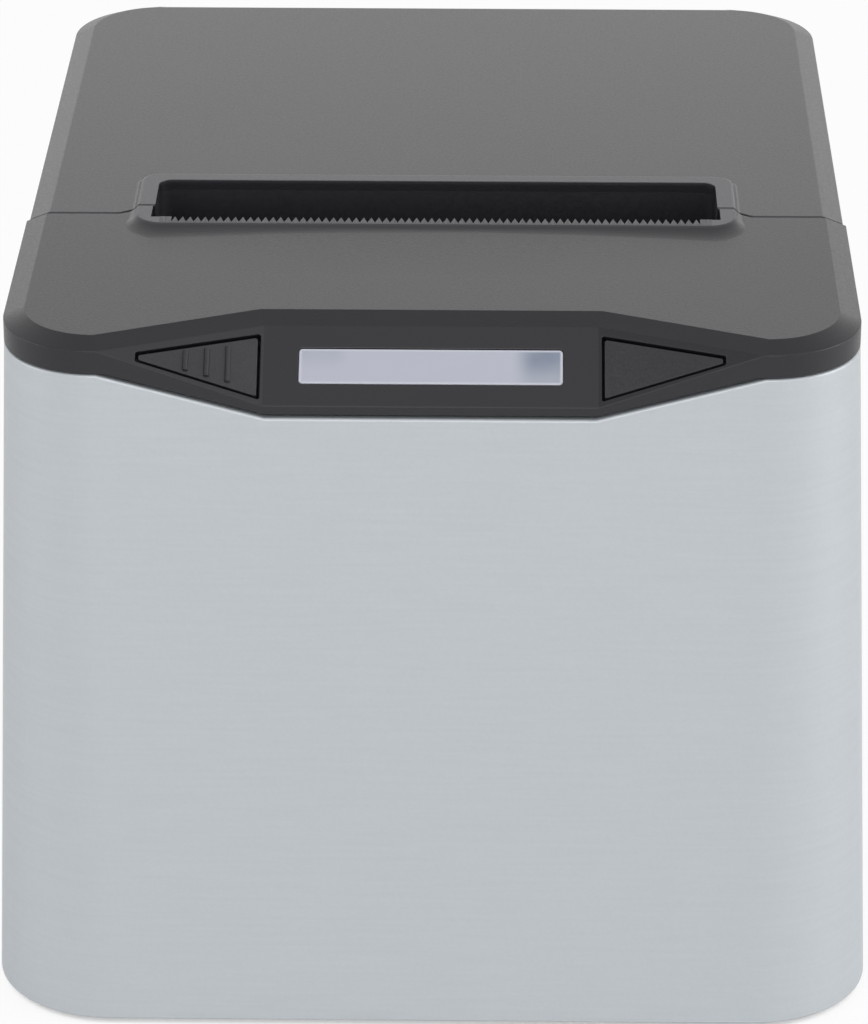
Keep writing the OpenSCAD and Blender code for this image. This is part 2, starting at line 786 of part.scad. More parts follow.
// Lid
pin_hx = ear_x + ear_w / 2 + 9;
lid_hx = hx - lid_inset;
lid_front = platen_y - arm_r - 0.1;
lid_bosses = [for (sx = [-1, 1], sy = [-1, 1]) [sx * (bucket_hx - 11), bucket_y + sy * 0.44 * bucket_r]];
module lid_profile() {
    translate([-far, cover_z])
        square([far + hinge_y + 1.8, far]);
    translate([hinge_y, hinge_z])
        circle(r = hinge_r);
}
module slot_plan() {
    translate([-slot_hx, -far])
        square([slot_w, far + slot_y - 2]);
    translate([-slot_hx + 2, -far])
        square([slot_w - 4, far + slot_y]);
    for (s = [-1, 1])
        translate([s * (slot_hx - 2), slot_y - 2])
            circle(r = 2);
}
module lid_rim_plan() {
    re = rim_w;
    y0 = ear_y + part_gap / 2;
    translate([-slot_hx - re, y0])
        square([slot_w + 2 * re, slot_y - y0]);
    translate([-slot_hx, y0])
        square([slot_w, slot_y + re - y0]);
    for (s = [-1, 1])
        translate([s * slot_hx, slot_y])
            circle(r = re);
}
module paper_lid() {
    color("#7f7f82")
        difference() {
            union() {
                difference() {
                    intersection() {
                        cap(lid_hx, hinge_z - hinge_r - 1);
                        along_x(-far, 2 * far)
                            lid_profile();
                    }
                    linear_extrude(height = far)
                        cover_plan(-part_gap / 2);
                    difference() {
                        box(-lid_hx + cover_wall, lid_hx - cover_wall, lid_front, hinge_y - hinge_r - 1, 0, under);
                        for (p = lid_bosses)
                            translate([p[0], p[1], liner_z + liner_t + 0.05])
                                cylinder(h = far, r = 3);
                    }
                }
                translate([0, 0, top - 0.6])
                    linear_extrude(height = 0.6 + rim_h)
                        lid_rim_plan();
            }
            translate([0, 0, liner_z])
                linear_extrude(height = far)
                    slot_plan();
            for (p = lid_bosses)
                translate([p[0], p[1], liner_z])
                    cylinder(h = liner_t + 3.8, r = screw_r + screw_fit);
            rod(-pin_hx - 0.4, pin_hx + 0.4, pin_r + run_fit, hinge_y, hinge_z);
            both_sides()
                box(ear_x - ear_w / 2 - 0.4, ear_x + ear_w / 2 + 0.4, hinge_y - hinge_r - 0.5, hy + 1, 0, hinge_z + 3.7);
        }
}
module lid_liner() {
    z1 = under - 0.1;
    y1 = slot_y + 0.2;
    color("#232427")
        difference() {
            union() {
                box(-arm_x - arm_t, arm_x + arm_t, y1, bucket_y + 28, liner_z, liner_z + liner_t);
                box(-arm_x - arm_t, arm_x + arm_t, y1, y1 + 1.6, platen_z + platen_r + 1.5, z1);
                both_sides() {
                    box(slot_hx + 0.2, arm_x + arm_t, lid_front + 0.1, y1 + 1.6, platen_z + platen_r + 1.5, z1);
                    box(arm_x, arm_x + arm_t, y1, bucket_y - 7, liner_z, z1);
                    along_x(arm_x, arm_t) {
                        translate([platen_y - arm_r, platen_z])
                            square([2 * arm_r, z1 - platen_z]);
                        translate([platen_y, platen_z])
                            circle(r = arm_r);
                    }
                }
            }
            rod(-far, far, bush_r + screw_fit, platen_y, platen_z);
            for (p = lid_bosses)
                translate([p[0], p[1], liner_z - 1])
                    cylinder(h = liner_t + 2, r = screw_r + 0.2);
        }
}
module lid_screws() {
    color("gainsboro")
        for (p = lid_bosses)
            screw_up(p[0], p[1], liner_z, liner_t + 3.4);
}
module hinge_pin() {
    color("gainsboro")
        rod(-pin_hx, pin_hx, pin_r, hinge_y, hinge_z);
}
module platen_bushes() {
    color("ivory")
        both_sides()
            difference() {
                union() {
                    rod(arm_x - 0.6, arm_x + arm_t + 0.3, bush_r, platen_y, platen_z);
                    rod(arm_x - 0.6, arm_x - 0.1, bush_r + 0.8, platen_y, platen_z);
                }
                rod(arm_x - 5, arm_x + 9, shaft_r + run_fit, platen_y, platen_z);
            }
}

// Platen and gears
module platen_roller() {
    color("#1b1b1c")
        difference() {
            rod(-paper_w / 2, paper_w / 2, platen_r, platen_y, platen_z);
            rod(-far, far, core_r, platen_y, platen_z);
        }
}
module platen_shaft() {
    color("gainsboro") {
        rod(-paper_w / 2, paper_w / 2, core_r, platen_y, platen_z);
        rod(-plate_x - plate_t - 1.5, plane1_x + gear_w + 0.3, shaft_r, platen_y, platen_z);
    }
}
module platen_gear() {
    color("ivory")
        gear(platen_n, ph_platen, plane1_x, gear_w, platen_y, platen_z, shaft_r);
}
module idler_gear() {
    color("ivory")
        gear(idler_n, ph_idler, plane1_x, gear_w, idler_y, idler_z, post_r + run_fit);
}
module reduction_gear() {
    color("ivory")
        difference() {
            union() {
                gear(pinion_n, ph_small, plane1_x, gear_w + 0.7, red_y, red_z, post_r + run_fit);
                gear(wheel_n, ph_wheel, plane2_x, wheel_w, red_y, red_z, post_r + run_fit);
            }
            rod(0, far, post_r + run_fit, red_y, red_z);
        }
}
module motor_pinion() {
    color("goldenrod") {
        gear(pinion_n, ph_motor, plane2_x, wheel_w, motor_y, motor_z, motor_shaft_r - 0.2);
        rod(plate_x - 6, plane2_x + wheel_w - 0.2, motor_shaft_r, motor_y, motor_z);
    }
}
motor_ear = motor_r + 3.5;
module stepper_motor() {
    color("silver")
        difference() {
            union() {
                rod(plate_x - motor_l - 1.05, plate_x - 0.05, motor_r, motor_y, motor_z);
                along_x(plate_x - 1.05, 1)
                    translate([motor_y, motor_z]) {
                        square([7, 2 * motor_ear], center = true);
                        for (s = [-1, 1])
                            translate([0, s * motor_ear])
                                circle(r = 3.5);
                    }
                rod(plate_x - 1, plate_x + plate_t, 4.8, motor_y, motor_z);
            }
            rod(plate_x - 7, far, motor_shaft_r + run_fit, motor_y, motor_z);
            for (s = [-1, 1])
                rod(plate_x - 5, far, screw_r + screw_fit, motor_y, motor_z + s * motor_ear);
        }
}
module motor_screws() {
    color("gainsboro")
        for (s = [-1, 1]) {
            rod(plate_x - 2.5, plate_x + plate_t, screw_r, motor_y, motor_z + s * motor_ear);
            rod(plate_x + plate_t, plate_x + plate_t + screw_head, 2 * screw_r, motor_y, motor_z + s * motor_ear);
        }
}
module gear_posts() {
    color("gainsboro") {
        rod(plate_x, plane1_x + gear_w + 0.3, post_r, idler_y, idler_z);
        rod(plate_x + plate_t, plane1_x - 0.2, post_r + 1.5, idler_y, idler_z);
        rod(plate_x, plane2_x + wheel_w + 0.7, post_r, red_y, red_z);
        rod(plate_x + plate_t, plane1_x - 0.2, post_r + 1.5, red_y, red_z);
    }
}
module post_clip() {
    color("dimgray")
        difference() {
            rod(plane2_x + wheel_w + 0.15, plane2_x + wheel_w + 0.6, post_r + 1.2, red_y, red_z);
            rod(0, far, post_r, red_y, red_z);
            box(0, far, red_y - 0.8, red_y + 0.8, red_z - 9, red_z);
        }
}

// Mechanism frame
module side_plate() {
    along_x(plate_x, plate_t)
        polygon([[frame_front, frame_z], [frame_front + 42, frame_z], [frame_back, bucket_z - 7],
            [frame_back, frame_top], [frame_front, frame_top]]);
    box(plate_x, tab_x + 3.5, tab_y - 5, tab_y + 5, frame_top - plate_t, frame_top);
}
module lift_slot() {
    rod(-far, far, shaft_r + 1, platen_y, platen_z);
    translate([-far, platen_y, platen_z])
        rotate([lift_a - 90, 0, 0])
            translate([0, -shaft_r - 0.8, 0])
                cube([2 * far, 2 * shaft_r + 1.6, 30]);
}
module mechanism_frame() {
    color("lightslategray")
        difference() {
            union() {
                both_sides()
                    side_plate();
                box(-plate_x - plate_t, plate_x + plate_t, frame_front + 2, frame_front + 40, frame_z,
                    frame_z + plate_t);
                on_head() {
                    box(-plate_x - 0.1, plate_x + 0.1, seat_ly - 1.6, seat_ly, -20, -9);
                    box(-bucket_hx, bucket_hx, seat_ly - 1.6, seat_ly, -10, 5);
                }
            }
            lift_slot();
            rod(-far, far, pivot_r + screw_fit, pivot_y, pivot_z);
            rod(-far, far, latch_r + run_fit, latch_y, latch_z);
            rod(0, far, post_r + 0.02, idler_y, idler_z);
            rod(0, far, post_r + 0.02, red_y, red_z);
            rod(0, far, 4.85, motor_y, motor_z);
            for (s = [-1, 1])
                rod(0, far, screw_r + screw_fit, motor_y, motor_z + s * motor_ear);
            for (p = frame_holes)
                translate([p[0], p[1], frame_z - 1])
                    cylinder(h = plate_t + 2, r = screw_r + 0.2);
            for (s = [-1, 1])
                translate([s * tab_x, tab_y, frame_top - plate_t - 1])
                    cylinder(h = plate_t + 2, r = screw_r + 0.2);
        }
}
module frame_screws() {
    color("gainsboro")
        for (p = frame_holes)
            screw_down(p[0], p[1], frame_z + plate_t, 6);
}

// Thermal head
module thermal_head() {
    color("#c9c4b4")
        on_head() {
            box(-head_hx + 0.5, head_hx - 0.5, -chip_t, 0, -13, 4);
            box(-head_hx + 4, head_hx - 4, -0.2, 0.9, -12.5, -8.5);
        }
}
module head_sink() {
    color("darkgray")
        difference() {
            union() {
                on_head()
                    box(-head_hx, head_hx, -chip_t - sink_t, -chip_t, pivot_lz, 5);
                rod(-head_hx + 0.6, head_hx - 0.6, barrel_r, pivot_y, pivot_z);
            }
            rod(-far, far, pivot_r + run_fit, pivot_y, pivot_z);
        }
}
module head_pin() {
    color("gainsboro")
        rod(-plate_x - plate_t, plate_x + plate_t, pivot_r, pivot_y, pivot_z);
}
module head_springs() {
    color("gainsboro")
        on_head()
            for (s = [-1, 1])
                translate([s * spring_x, seat_ly + 0.1, -1])
                    rotate([-90, 0, 0])
                        coil(spring_rm, wire_r, spring_l - 0.2, 5);
}

// Lid latch
module latch_shaft() {
    color("gainsboro")
        rod(-plate_x - plate_t - 0.5, plate_x + plate_t + 0.5, latch_r, latch_y, latch_z);
}
module hook_plan() {
    translate([latch_y, latch_z])
        circle(r = latch_r + 2);
    polygon([[latch_y + 1, latch_z + 3.6], [nose_y - 2.5, platen_z + 0.5], [nose_y, platen_z - 0.5],
        [nose_y, platen_z - 2.4], [nose_y - 2.4, platen_z - 3], [latch_y + 3, latch_z - 2.5]]);
}
module lever_plan() {
    translate([latch_y, latch_z])
        circle(r = latch_r + 2);
    polygon([[latch_y - 3.4, latch_z - 1.6], [latch_y + 1, latch_z + 3.6], [pad_y + 6, pad_z],
        [pad_y - 5, pad_z], [pad_y - 5, pad_z - 2], [pad_y + 2, pad_z - 2]]);
}
module latch_hooks() {
    color("slategray")
        difference() {
            union() {
                both_sides()
                    along_x(hook_x, hook_t)
                        hook_plan();
                along_x(release_x - 2, 4)
                    lever_plan();
            }
            rod(-far, far, latch_r, latch_y, latch_z);
        }
}
module latch_spring() {
    color("gainsboro")
        translate([-30, latch_y, latch_z])
            rotate([0, 90, 0])
                coil(latch_r + 0.3 + wire_r, wire_r, 8, 5);
}

// Paper bucket
module trough(r, lip, wall) {
    translate([bucket_y, bucket_z])
        circle(r = r);
    translate([bucket_y - r, min(bucket_z, lip)])
        square([r, abs(lip - bucket_z)]);
    translate([bucket_y, bucket_z])
        square([r, wall - bucket_z]);
}
module bucket_side() {
    intersection() {
        union() {
            trough(bucket_ro, lip_z, wall_z);
            polygon([[bucket_y - 31, lip_z], [bucket_y - 22, wall_z], [bucket_y + 1, wall_z], [bucket_y + 1, lip_z]]);
        }
        union() {
            translate([-far, 0])
                square([far + bucket_y - 22, lip_z]);
            translate([bucket_y - 31, 0])
                square([far, far]);
        }
        translate([-far, 0])
            square([2 * far, wall_z]);
    }
}
module paper_bucket() {
    color("#2b2c30")
        difference() {
            union() {
                along_x(-bucket_hx - bucket_wall, 2 * (bucket_hx + bucket_wall))
                    intersection() {
                        trough(bucket_ro, lip_z, wall_z);
                        bucket_side();
                    }
                both_sides()
                    along_x(bucket_hx, bucket_wall)
                        bucket_side();
                both_sides()
                    along_x(ear_x - ear_w / 2, ear_w) {
                        translate([hinge_y, hinge_z])
                            circle(r = ear_r);
                        translate([bucket_y + bucket_r - 1.5, wall_z - 8])
                            square([hinge_y + 2.2 - bucket_y - bucket_r + 1.5, hinge_z - wall_z + 8]);
                    }
                both_sides()
                    for (y = lug_ys)
                        box(bucket_hx + bucket_wall - 0.5, lug_x + 4.5, y - 4.5, y + 4.5, lug_z + 0.05, lug_z + lug_t);
            }
            along_x(-bucket_hx, 2 * bucket_hx)
                difference() {
                    union() {
                        trough(bucket_r, far, far);
                        translate([bucket_y - bucket_r, lip_z])
                            square([2 * bucket_r, far]);
                    }
                    translate([bucket_y + bucket_r, 0])
                        square([far, far]);
                }
            rod(-far, far, pin_r + 0.02, hinge_y, hinge_z);
            both_sides()
                for (y = lug_ys)
                    translate([lug_x, y, lug_z - 1])
                        cylinder(h = lug_t + 2, r = screw_r + 0.2);
        }
}
module bucket_screws() {
    color("gainsboro")
        both_sides()
            for (y = lug_ys)
                screw_down(lug_x, y, lug_z + lug_t, 10);
}
module paper_sensor() {
    color("black")
        box(14, 24, bucket_y - bucket_ro - 3.6, bucket_y - bucket_ro - 0.05, lip_z - 4.8, lip_z - 0.5);
}

// Main board
module main_board() {
    color("darkgreen")
        difference() {
            box(-board_hx, board_hx, board_y0, board_y1, board_z + 0.05, board_top);
            for (p = board_holes)
                translate([p[0], p[1], board_z - 1])
                    cylinder(h = board_t + 2, r = screw_r + 0.2);
        }
}
module board_screws() {
    color("gainsboro")
        for (p = board_holes)
            screw_down(p[0], p[1], board_top, board_t + 2.4);
}
module board_chips() {
    color("#1c1c1e") {
        box(-18, -4, board_y0 + 16.5, board_y0 + 30.5, board_top, board_top + 1.6);
        box(8, 18, board_y0 + 20.5, board_y0 + 28.5, board_top, board_top + 1.4);
        box(12, 20, board_y0 + 42.5, board_y0 + 48.5, board_top, board_top + 1.8);
        box(-20, 10, board_y0 + 1.6, board_y0 + 5, board_top, board_top + 4.4);
        box(-31, -21.5, board_y0 + 1.6, board_y0 + 4.5, board_top, board_top + 3);
    }
}
module board_capacitors() {
    color("navy")
        for (k = [0, 1])
            translate([-board_hx + 4, board_y1 - 5 - 8 * k, board_top])
                cylinder(h = 9.5, r = 3.2);
}
module head_ribbon() {
    y0 = board_y0 - 5.6;
    z0 = board_top + 2;
    y1 = pivot_y - 0.15;
    z1 = pivot_z - barrel_r - 0.05;
    zm = (z0 + z1) / 2;
    t = 0.3;
    color("wheat")
        along_x(-18, 26)
            polygon([[y1, z1], [y1 + t, z1], [y0 + t, zm], [y0 + t, z0 + t], [board_y0 + 1.55, z0 + t],
                [board_y0 + 1.55, z0], [y0, z0], [y0, zm]]);
}
module panel_ribbon() {
    y0 = panel_my + 3;
    z1 = panel_mz + (board_lz - board_t) / cos(panel_a) + 3 * tan(panel_a) - 0.3;
    z0 = floor_z + 0.3;
    y1 = board_y0 - 2;
    z2 = board_top + 1;
    t = 0.3;
    color("wheat")
        along_x(-30, 8) {
            translate([y0, z0])
                square([t, z1 - z0]);
            translate([y0, z0])
                square([y1 - y0 + t, t]);
            translate([y1, z0])
                square([t, z2 - z0]);
            translate([y1, z2 - t])
                square([board_y0 + 1.55 - y1, t]);
        }
}

// Rear sockets
sock_y0 = io_y1 - 15;
module socket(x, w, h) {
    box(x - w / 2, x + w / 2, sock_y0, io_y1, board_top, board_top + h);
}
module socket_plate() {
    color("#2b2c30")
        difference() {
            box(-io_hx, io_hx, io_y0, io_y1, io_z0, io_z0 + io_h);
            for (p = [[jack_x, 9, 11], [usb_x, 12, 11], [drawer_x, 13.4, 11.5], [switch_x, 17, 11.2]])
                box(p[0] - p[1] / 2 - io_gap, p[0] + p[1] / 2 + io_gap, io_y0 - 1, io_y1 + 1, board_top - io_gap,
                    board_top + p[2] + io_gap);
        }
}
module usb_socket() {
    color("silver")
        difference() {
            socket(usb_x, 12, 11);
            difference() {
                box(usb_x - 4.25, usb_x + 4.25, io_y1 - 9, io_y1 + 1, board_top + 1.6, board_top + 9.4);
                box(usb_x - 2.8, usb_x + 2.8, io_y1 - 10, io_y1 - 0.6, board_top + 3.9, board_top + 7.1);
            }
        }
}
module power_jack() {
    color("black")
        difference() {
            socket(jack_x, 9, 11);
            translate([jack_x, io_y1 - 9, board_top + 6])
                rotate([-90, 0, 0])
                    difference() {
                        cylinder(h = 10, r = 3.15);
                        translate([0, 0, -1])
                            cylinder(h = 9, r = 1);
                    }
        }
}
module drawer_socket() {
    color("black")
        difference() {
            socket(drawer_x, 13.4, 11.5);
            box(drawer_x - 4.9, drawer_x + 4.9, io_y1 - 12, io_y1 + 1, board_top + 2.4, board_top + 9.2);
        }
}
rocker_hl = 6.3;
rocker_hw = 3.6;
module switch_housing() {
    color("black")
        difference() {
            box(switch_x - 8.5, switch_x + 8.5, sock_y0, io_y1, board_top + 0.05, board_top + 11.2);
            box(switch_x - 7.1, switch_x + 7.1, io_y1 - 7, io_y1 + 1, rocker_z - rocker_hw - 0.3,
                rocker_z + rocker_hw + 0.3);
            translate([switch_x, rocker_y, rocker_z - rocker_hw - 1.2])
                cylinder(h = 2 * rocker_hw + 2.4, r = 1 + run_fit);
        }
}
module power_rocker() {
    color("#c3222a")
        translate([switch_x, rocker_y, rocker_z]) {
            rotate([0, 0, -8])
                translate([0, 0, -rocker_hw])
                    linear_extrude(height = 2 * rocker_hw)
                        polygon([[-rocker_hl, -2], [rocker_hl, -2], [rocker_hl, 2.4], [0, 1.5], [-rocker_hl, 2.4]]);
            translate([0, 0, -rocker_hw - 1])
                cylinder(h = 2 * rocker_hw + 2, r = 1);
        }
}

outer_shell();
base_tray();
rubber_feet();
tray_screws();
front_cover();
cover_screws();
tear_bar();
status_window();
panel_board();
status_lamps();
panel_screws();
feed_switch();
feed_button();
feed_plunger();
release_button();
paper_lid();
lid_liner();
lid_screws();
hinge_pin();
platen_bushes();
platen_roller();
platen_shaft();
platen_gear();
idler_gear();
reduction_gear();
motor_pinion();
stepper_motor();
motor_screws();
gear_posts();
post_clip();
mechanism_frame();
frame_screws();
thermal_head();
head_sink();
head_pin();
head_springs();
latch_shaft();
latch_hooks();
latch_spring();
paper_bucket();
bucket_screws();
paper_sensor();
main_board();
board_screws();
board_chips();
board_capacitors();
head_ribbon();
panel_ribbon();
socket_plate();
usb_socket();
power_jack();
drawer_socket();
switch_housing();
power_rocker();
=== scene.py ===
import math
import bmesh
import bpy
from mathutils import Matrix, Vector


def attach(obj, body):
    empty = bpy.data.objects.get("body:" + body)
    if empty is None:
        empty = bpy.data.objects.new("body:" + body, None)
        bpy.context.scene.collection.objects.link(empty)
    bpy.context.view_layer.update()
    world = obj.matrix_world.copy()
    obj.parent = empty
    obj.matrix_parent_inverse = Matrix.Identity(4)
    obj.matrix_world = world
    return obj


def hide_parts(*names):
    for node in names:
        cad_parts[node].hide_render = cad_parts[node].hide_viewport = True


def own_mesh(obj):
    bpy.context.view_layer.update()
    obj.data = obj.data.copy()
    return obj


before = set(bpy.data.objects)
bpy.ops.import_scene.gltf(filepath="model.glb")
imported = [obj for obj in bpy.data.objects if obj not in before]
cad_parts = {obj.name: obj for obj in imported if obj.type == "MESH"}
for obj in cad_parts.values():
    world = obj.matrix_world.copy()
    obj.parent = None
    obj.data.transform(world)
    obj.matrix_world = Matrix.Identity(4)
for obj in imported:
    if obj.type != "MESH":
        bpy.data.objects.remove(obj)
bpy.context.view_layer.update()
scene = bpy.context.scene
scene.view_settings.view_transform = "Standard"
mm = 0.001
print("frame loaded,", len(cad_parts), "nodes")


def hexColour(code):
    parts = [int(code[i:i + 2], 16) / 255 for i in (1, 3, 5)]
    return [p / 12.92 if p <= 0.04045 else ((p + 0.055) / 1.055) ** 2.4 for p in parts] + [1.0]


# an input may be a value, a socket to link from, or a node, whose first socket in use is linked
def setInputs(tree, node, inputs):
    for label, value in inputs.items():
        if isinstance(value, bpy.types.Node):
            value = next(socket for socket in value.outputs if socket.enabled)
        if isinstance(value, bpy.types.NodeSocket):
            tree.links.new(value, node.inputs[label])
        else:
            node.inputs[label].default_value = value
    return node


def addNode(tree, kind, inputs=None, **options):
    node = tree.nodes.new(kind)
    for label, value in options.items():
        setattr(node, label, value)
    return setInputs(tree, node, inputs or {})


# camera at the photograph's angle
eye = {"lens": 172.08, "sensor": 36.0, "place": (0.01064, -0.69188, 0.36692), "turn": (65.212, 0.0, 0.936)}
camera = bpy.data.objects.new("camera", bpy.data.cameras.new("camera"))
camera.data.lens = eye["lens"]
camera.data.sensor_width = eye["sensor"]
camera.location = eye["place"]
camera.rotation_euler = [math.radians(a) for a in eye["turn"]]
scene.collection.objects.link(camera)
scene.camera = camera

# materials, with their patterns' sizes in millimetres
fromNoise = {"From Min": 0.3, "From Max": 0.7}  # most of a noise pattern lies between these levels


def newMaterial(name, colour, rough, metallic=0.0, ior=1.5):
    mat = bpy.data.materials.new(name)
    mat.use_nodes = True
    tree = mat.node_tree
    tree.nodes.clear()
    shader = addNode(tree, "ShaderNodeBsdfPrincipled",
                     {"Base Color": hexColour(colour), "Roughness": rough, "Metallic": metallic, "IOR": ior})
    addNode(tree, "ShaderNodeOutputMaterial", {"Surface": shader})
    return mat, tree, shader


# moulded ABS with a spark-eroded grain: tiny pits break the gloss and leave faint lighter specks
sparked = {"tint": (0.975, 0.96, 1.0, 1.0), "cloud": 25.0, "mottle": (0.35, 0.65), "wear": 0.05, "bump": 0.35}


def sparkedPlastic(name, colour, pale, rough, grain=0.35, depth=0.05, paleTops=None):
    mat, tree, shader = newMaterial(name, colour, rough)
    look = sparked
    spot = addNode(tree, "ShaderNodeTexCoord").outputs["Object"]
    pits = addNode(tree, "ShaderNodeTexNoise", {"Vector": spot, "Scale": 1 / (grain * mm), "Detail": 2.0})
    cloud = addNode(tree, "ShaderNodeTexNoise", {"Vector": spot, "Scale": 1 / (look["cloud"] * mm),
                                                 "Detail": 3.0})
    mottle = addNode(tree, "ShaderNodeMapRange", {"Value": cloud, **fromNoise, "To Min": look["mottle"][0],
                                                  "To Max": look["mottle"][1]})
    speck = addNode(tree, "ShaderNodeMath", {0: mottle, 1: pits}, operation="MULTIPLY")
    tone = addNode(tree, "ShaderNodeMix", {"Factor": speck, "A": hexColour(colour), "B": hexColour(pale)},
                   data_type="RGBA")
    wear = addNode(tree, "ShaderNodeMapRange", {"Value": pits, **fromNoise, "To Min": rough - look["wear"],
                                                "To Max": rough + look["wear"]})
    bump = addNode(tree, "ShaderNodeBump", {"Height": pits, "Strength": look["bump"], "Distance": depth * mm})
    # the raised tops round the slot are coloured paler above a given height
    if paleTops:
        low, high, topTone = paleTops
        axes = addNode(tree, "ShaderNodeSeparateXYZ", {"Vector": spot})
        ridge = addNode(tree, "ShaderNodeMapRange", {"Value": axes.outputs["Z"], "From Min": low * mm,
                                                     "From Max": high * mm})
        tone = addNode(tree, "ShaderNodeMix", {"Factor": ridge, "A": tone, "B": hexColour(topTone)},
                       data_type="RGBA")
    setInputs(tree, shader, {"Base Color": tone, "Roughness": wear, "Normal": bump,
                             "Specular Tint": look["tint"]})
    return mat


# silver-pigmented lacquer over ABS: flat flakes give a soft sheen, with faint level streaks from the mould
lacquer = {"rough": 0.38, "metallic": 0.25, "streak": (15.0, 15.0, 0.6), "flake": 0.4, "glint": 0.25,
           "wear": (0.40, 0.37), "bump": 0.06, "depth": 0.02}


def silverLacquer(name, colour, pale):
    look = lacquer
    mat, tree, shader = newMaterial(name, colour, look["rough"], look["metallic"])
    spot = addNode(tree, "ShaderNodeTexCoord").outputs["Object"]
    # streaks 0.3 mm high and about 15 mm long, drawn that coarse so that they show
    lay = addNode(tree, "ShaderNodeMapping", {"Vector": spot,
                                              "Scale": [1 / (s * mm) for s in look["streak"]]})
    streak = addNode(tree, "ShaderNodeTexNoise", {"Vector": lay, "Scale": 1.0, "Detail": 3.0})
    flake = addNode(tree, "ShaderNodeTexVoronoi", {"Vector": spot, "Scale": 1 / (look["flake"] * mm)})
    glint = addNode(tree, "ShaderNodeSeparateColor", {"Color": flake.outputs["Color"]})
    part = addNode(tree, "ShaderNodeMath", {0: glint.outputs["Red"], 1: look["glint"], 2: streak},
                   operation="MULTIPLY_ADD")
    span = {"Value": part, "From Min": 0.3, "From Max": 1.0}
    share = addNode(tree, "ShaderNodeMapRange", span)
    tone = addNode(tree, "ShaderNodeMix", {"Factor": share, "A": hexColour(colour), "B": hexColour(pale)},
                   data_type="RGBA")
    wear = addNode(tree, "ShaderNodeMapRange", {**span, "To Min": look["wear"][0], "To Max": look["wear"][1]})
    bump = addNode(tree, "ShaderNodeBump", {"Height": streak, "Strength": look["bump"],
                                            "Distance": look["depth"] * mm})
    setInputs(tree, shader, {"Base Color": tone, "Roughness": wear, "Normal": bump})
    return mat


# metal with marks of its making: fine lines along one axis, and a slow change of tone
worked = {"cloud": 9.0, "share": (0.1, 0.45), "wear": 0.08, "bump": 0.2, "depth": 0.02}


def workedMetal(name, colour, dull, rough, lines=(0.15, 6, 6), metallic=1.0):
    mat, tree, shader = newMaterial(name, colour, rough, metallic)
    look = worked
    spot = addNode(tree, "ShaderNodeTexCoord").outputs["Object"]
    lay = addNode(tree, "ShaderNodeMapping", {"Vector": spot, "Scale": [1 / (s * mm) for s in lines]})
    brush = addNode(tree, "ShaderNodeTexNoise", {"Vector": lay, "Scale": 1.0, "Detail": 3.0})
    cloud = addNode(tree, "ShaderNodeTexNoise", {"Vector": spot, "Scale": 1 / (look["cloud"] * mm),
                                                 "Detail": 3.0})
    part = addNode(tree, "ShaderNodeMath", {0: brush, 1: cloud}, operation="MULTIPLY")
    share = addNode(tree, "ShaderNodeMapRange", {"Value": part, "From Min": look["share"][0],
                                                 "From Max": look["share"][1]})
    tone = addNode(tree, "ShaderNodeMix", {"Factor": share, "A": hexColour(colour), "B": hexColour(dull)},
                   data_type="RGBA")
    wear = addNode(tree, "ShaderNodeMapRange", {"Value": brush, **fromNoise, "To Min": rough - look["wear"],
                                                "To Max": rough + look["wear"]})
    bump = addNode(tree, "ShaderNodeBump", {"Height": brush, "Strength": look["bump"],
                                            "Distance": look["depth"] * mm})
    setInputs(tree, shader, {"Base Color": tone, "Roughness": wear, "Normal": bump})
    return mat


silver = silverLacquer("silverLacquerOnAbs", "#B9BEC2", "#BEC3C8")
coverAbs = sparkedPlastic("sparkedAbsCover", "#18191C", "#232428", 0.36, paleTops=(106.6, 106.8, "#3B3B3F"))
lidAbs = sparkedPlastic("sparkedAbsLid", "#202024", "#2C2C31", 0.34, paleTops=(106.2, 106.5, "#343438"))
keyAbs = sparkedPlastic("sparkedAbsKey", "#17181B", "#45464A", 0.44, 0.35, 0.1)
innerAbs = sparkedPlastic("mouldedAbsInside", "#1B1C1F", "#27282B", 0.5, 0.6, 0.04)
socketPbt = sparkedPlastic("mouldedPbtSocket", "#141416", "#1E1E20", 0.35, 0.8, 0.02)
chipEpoxy = sparkedPlastic("mouldedEpoxyChip", "#17181A", "#232426", 0.55, 0.25, 0.03)
footRubber = sparkedPlastic("mouldedRubberFoot", "#161617", "#232324", 0.75, 0.4, 0.06)
rollRubber = sparkedPlastic("groundRubberRoller", "#1A1A1C", "#2A2A2C", 0.62, 0.2, 0.05)
gearNylon = sparkedPlastic("naturalNylonGear", "#DAD5C6", "#E6E2D6", 0.42, 0.8, 0.03)
headCeramic = sparkedPlastic("glazedCeramicHead", "#C9C3B2", "#D6D1C2", 0.2, 1.5, 0.01)
lampEpoxy = sparkedPlastic("clearEpoxyLamp", "#E8E4DA", "#F2EFE6", 0.2, 1.0, 0.01)
boardMask = sparkedPlastic("solderMaskBoard", "#1C5A38", "#2A6C47", 0.32, 1.2, 0.02)
sleeveBlue = sparkedPlastic("shrunkSleeveBlue", "#1B2450", "#27315F", 0.3, 1.0, 0.02)
ribbonFilm = sparkedPlastic("polyimideFilmRibbon", "#B5732A", "#C98A43", 0.28, 2.0, 0.01)
rockerRed = sparkedPlastic("mouldedNylonRocker", "#A3191F", "#B52A2F", 0.3, 0.9, 0.02)
bladeSteel = workedMetal("stampedSteelBlade", "#4B4B4E", "#3F3F42", 0.45, (0.2, 4, 4), 0.5)
zincSteel = workedMetal("zincPlatedSteel", "#C4C5C8", "#A9ABB0", 0.3, (0.3, 0.3, 3))
sheetSteel = workedMetal("galvanisedSheetSteel", "#B4B7BB", "#989CA2", 0.42, (4, 4, 4))
sinkAlloy = workedMetal("drawnAluminiumSink", "#CBCDD0", "#B5B8BC", 0.38, (6, 0.2, 6))
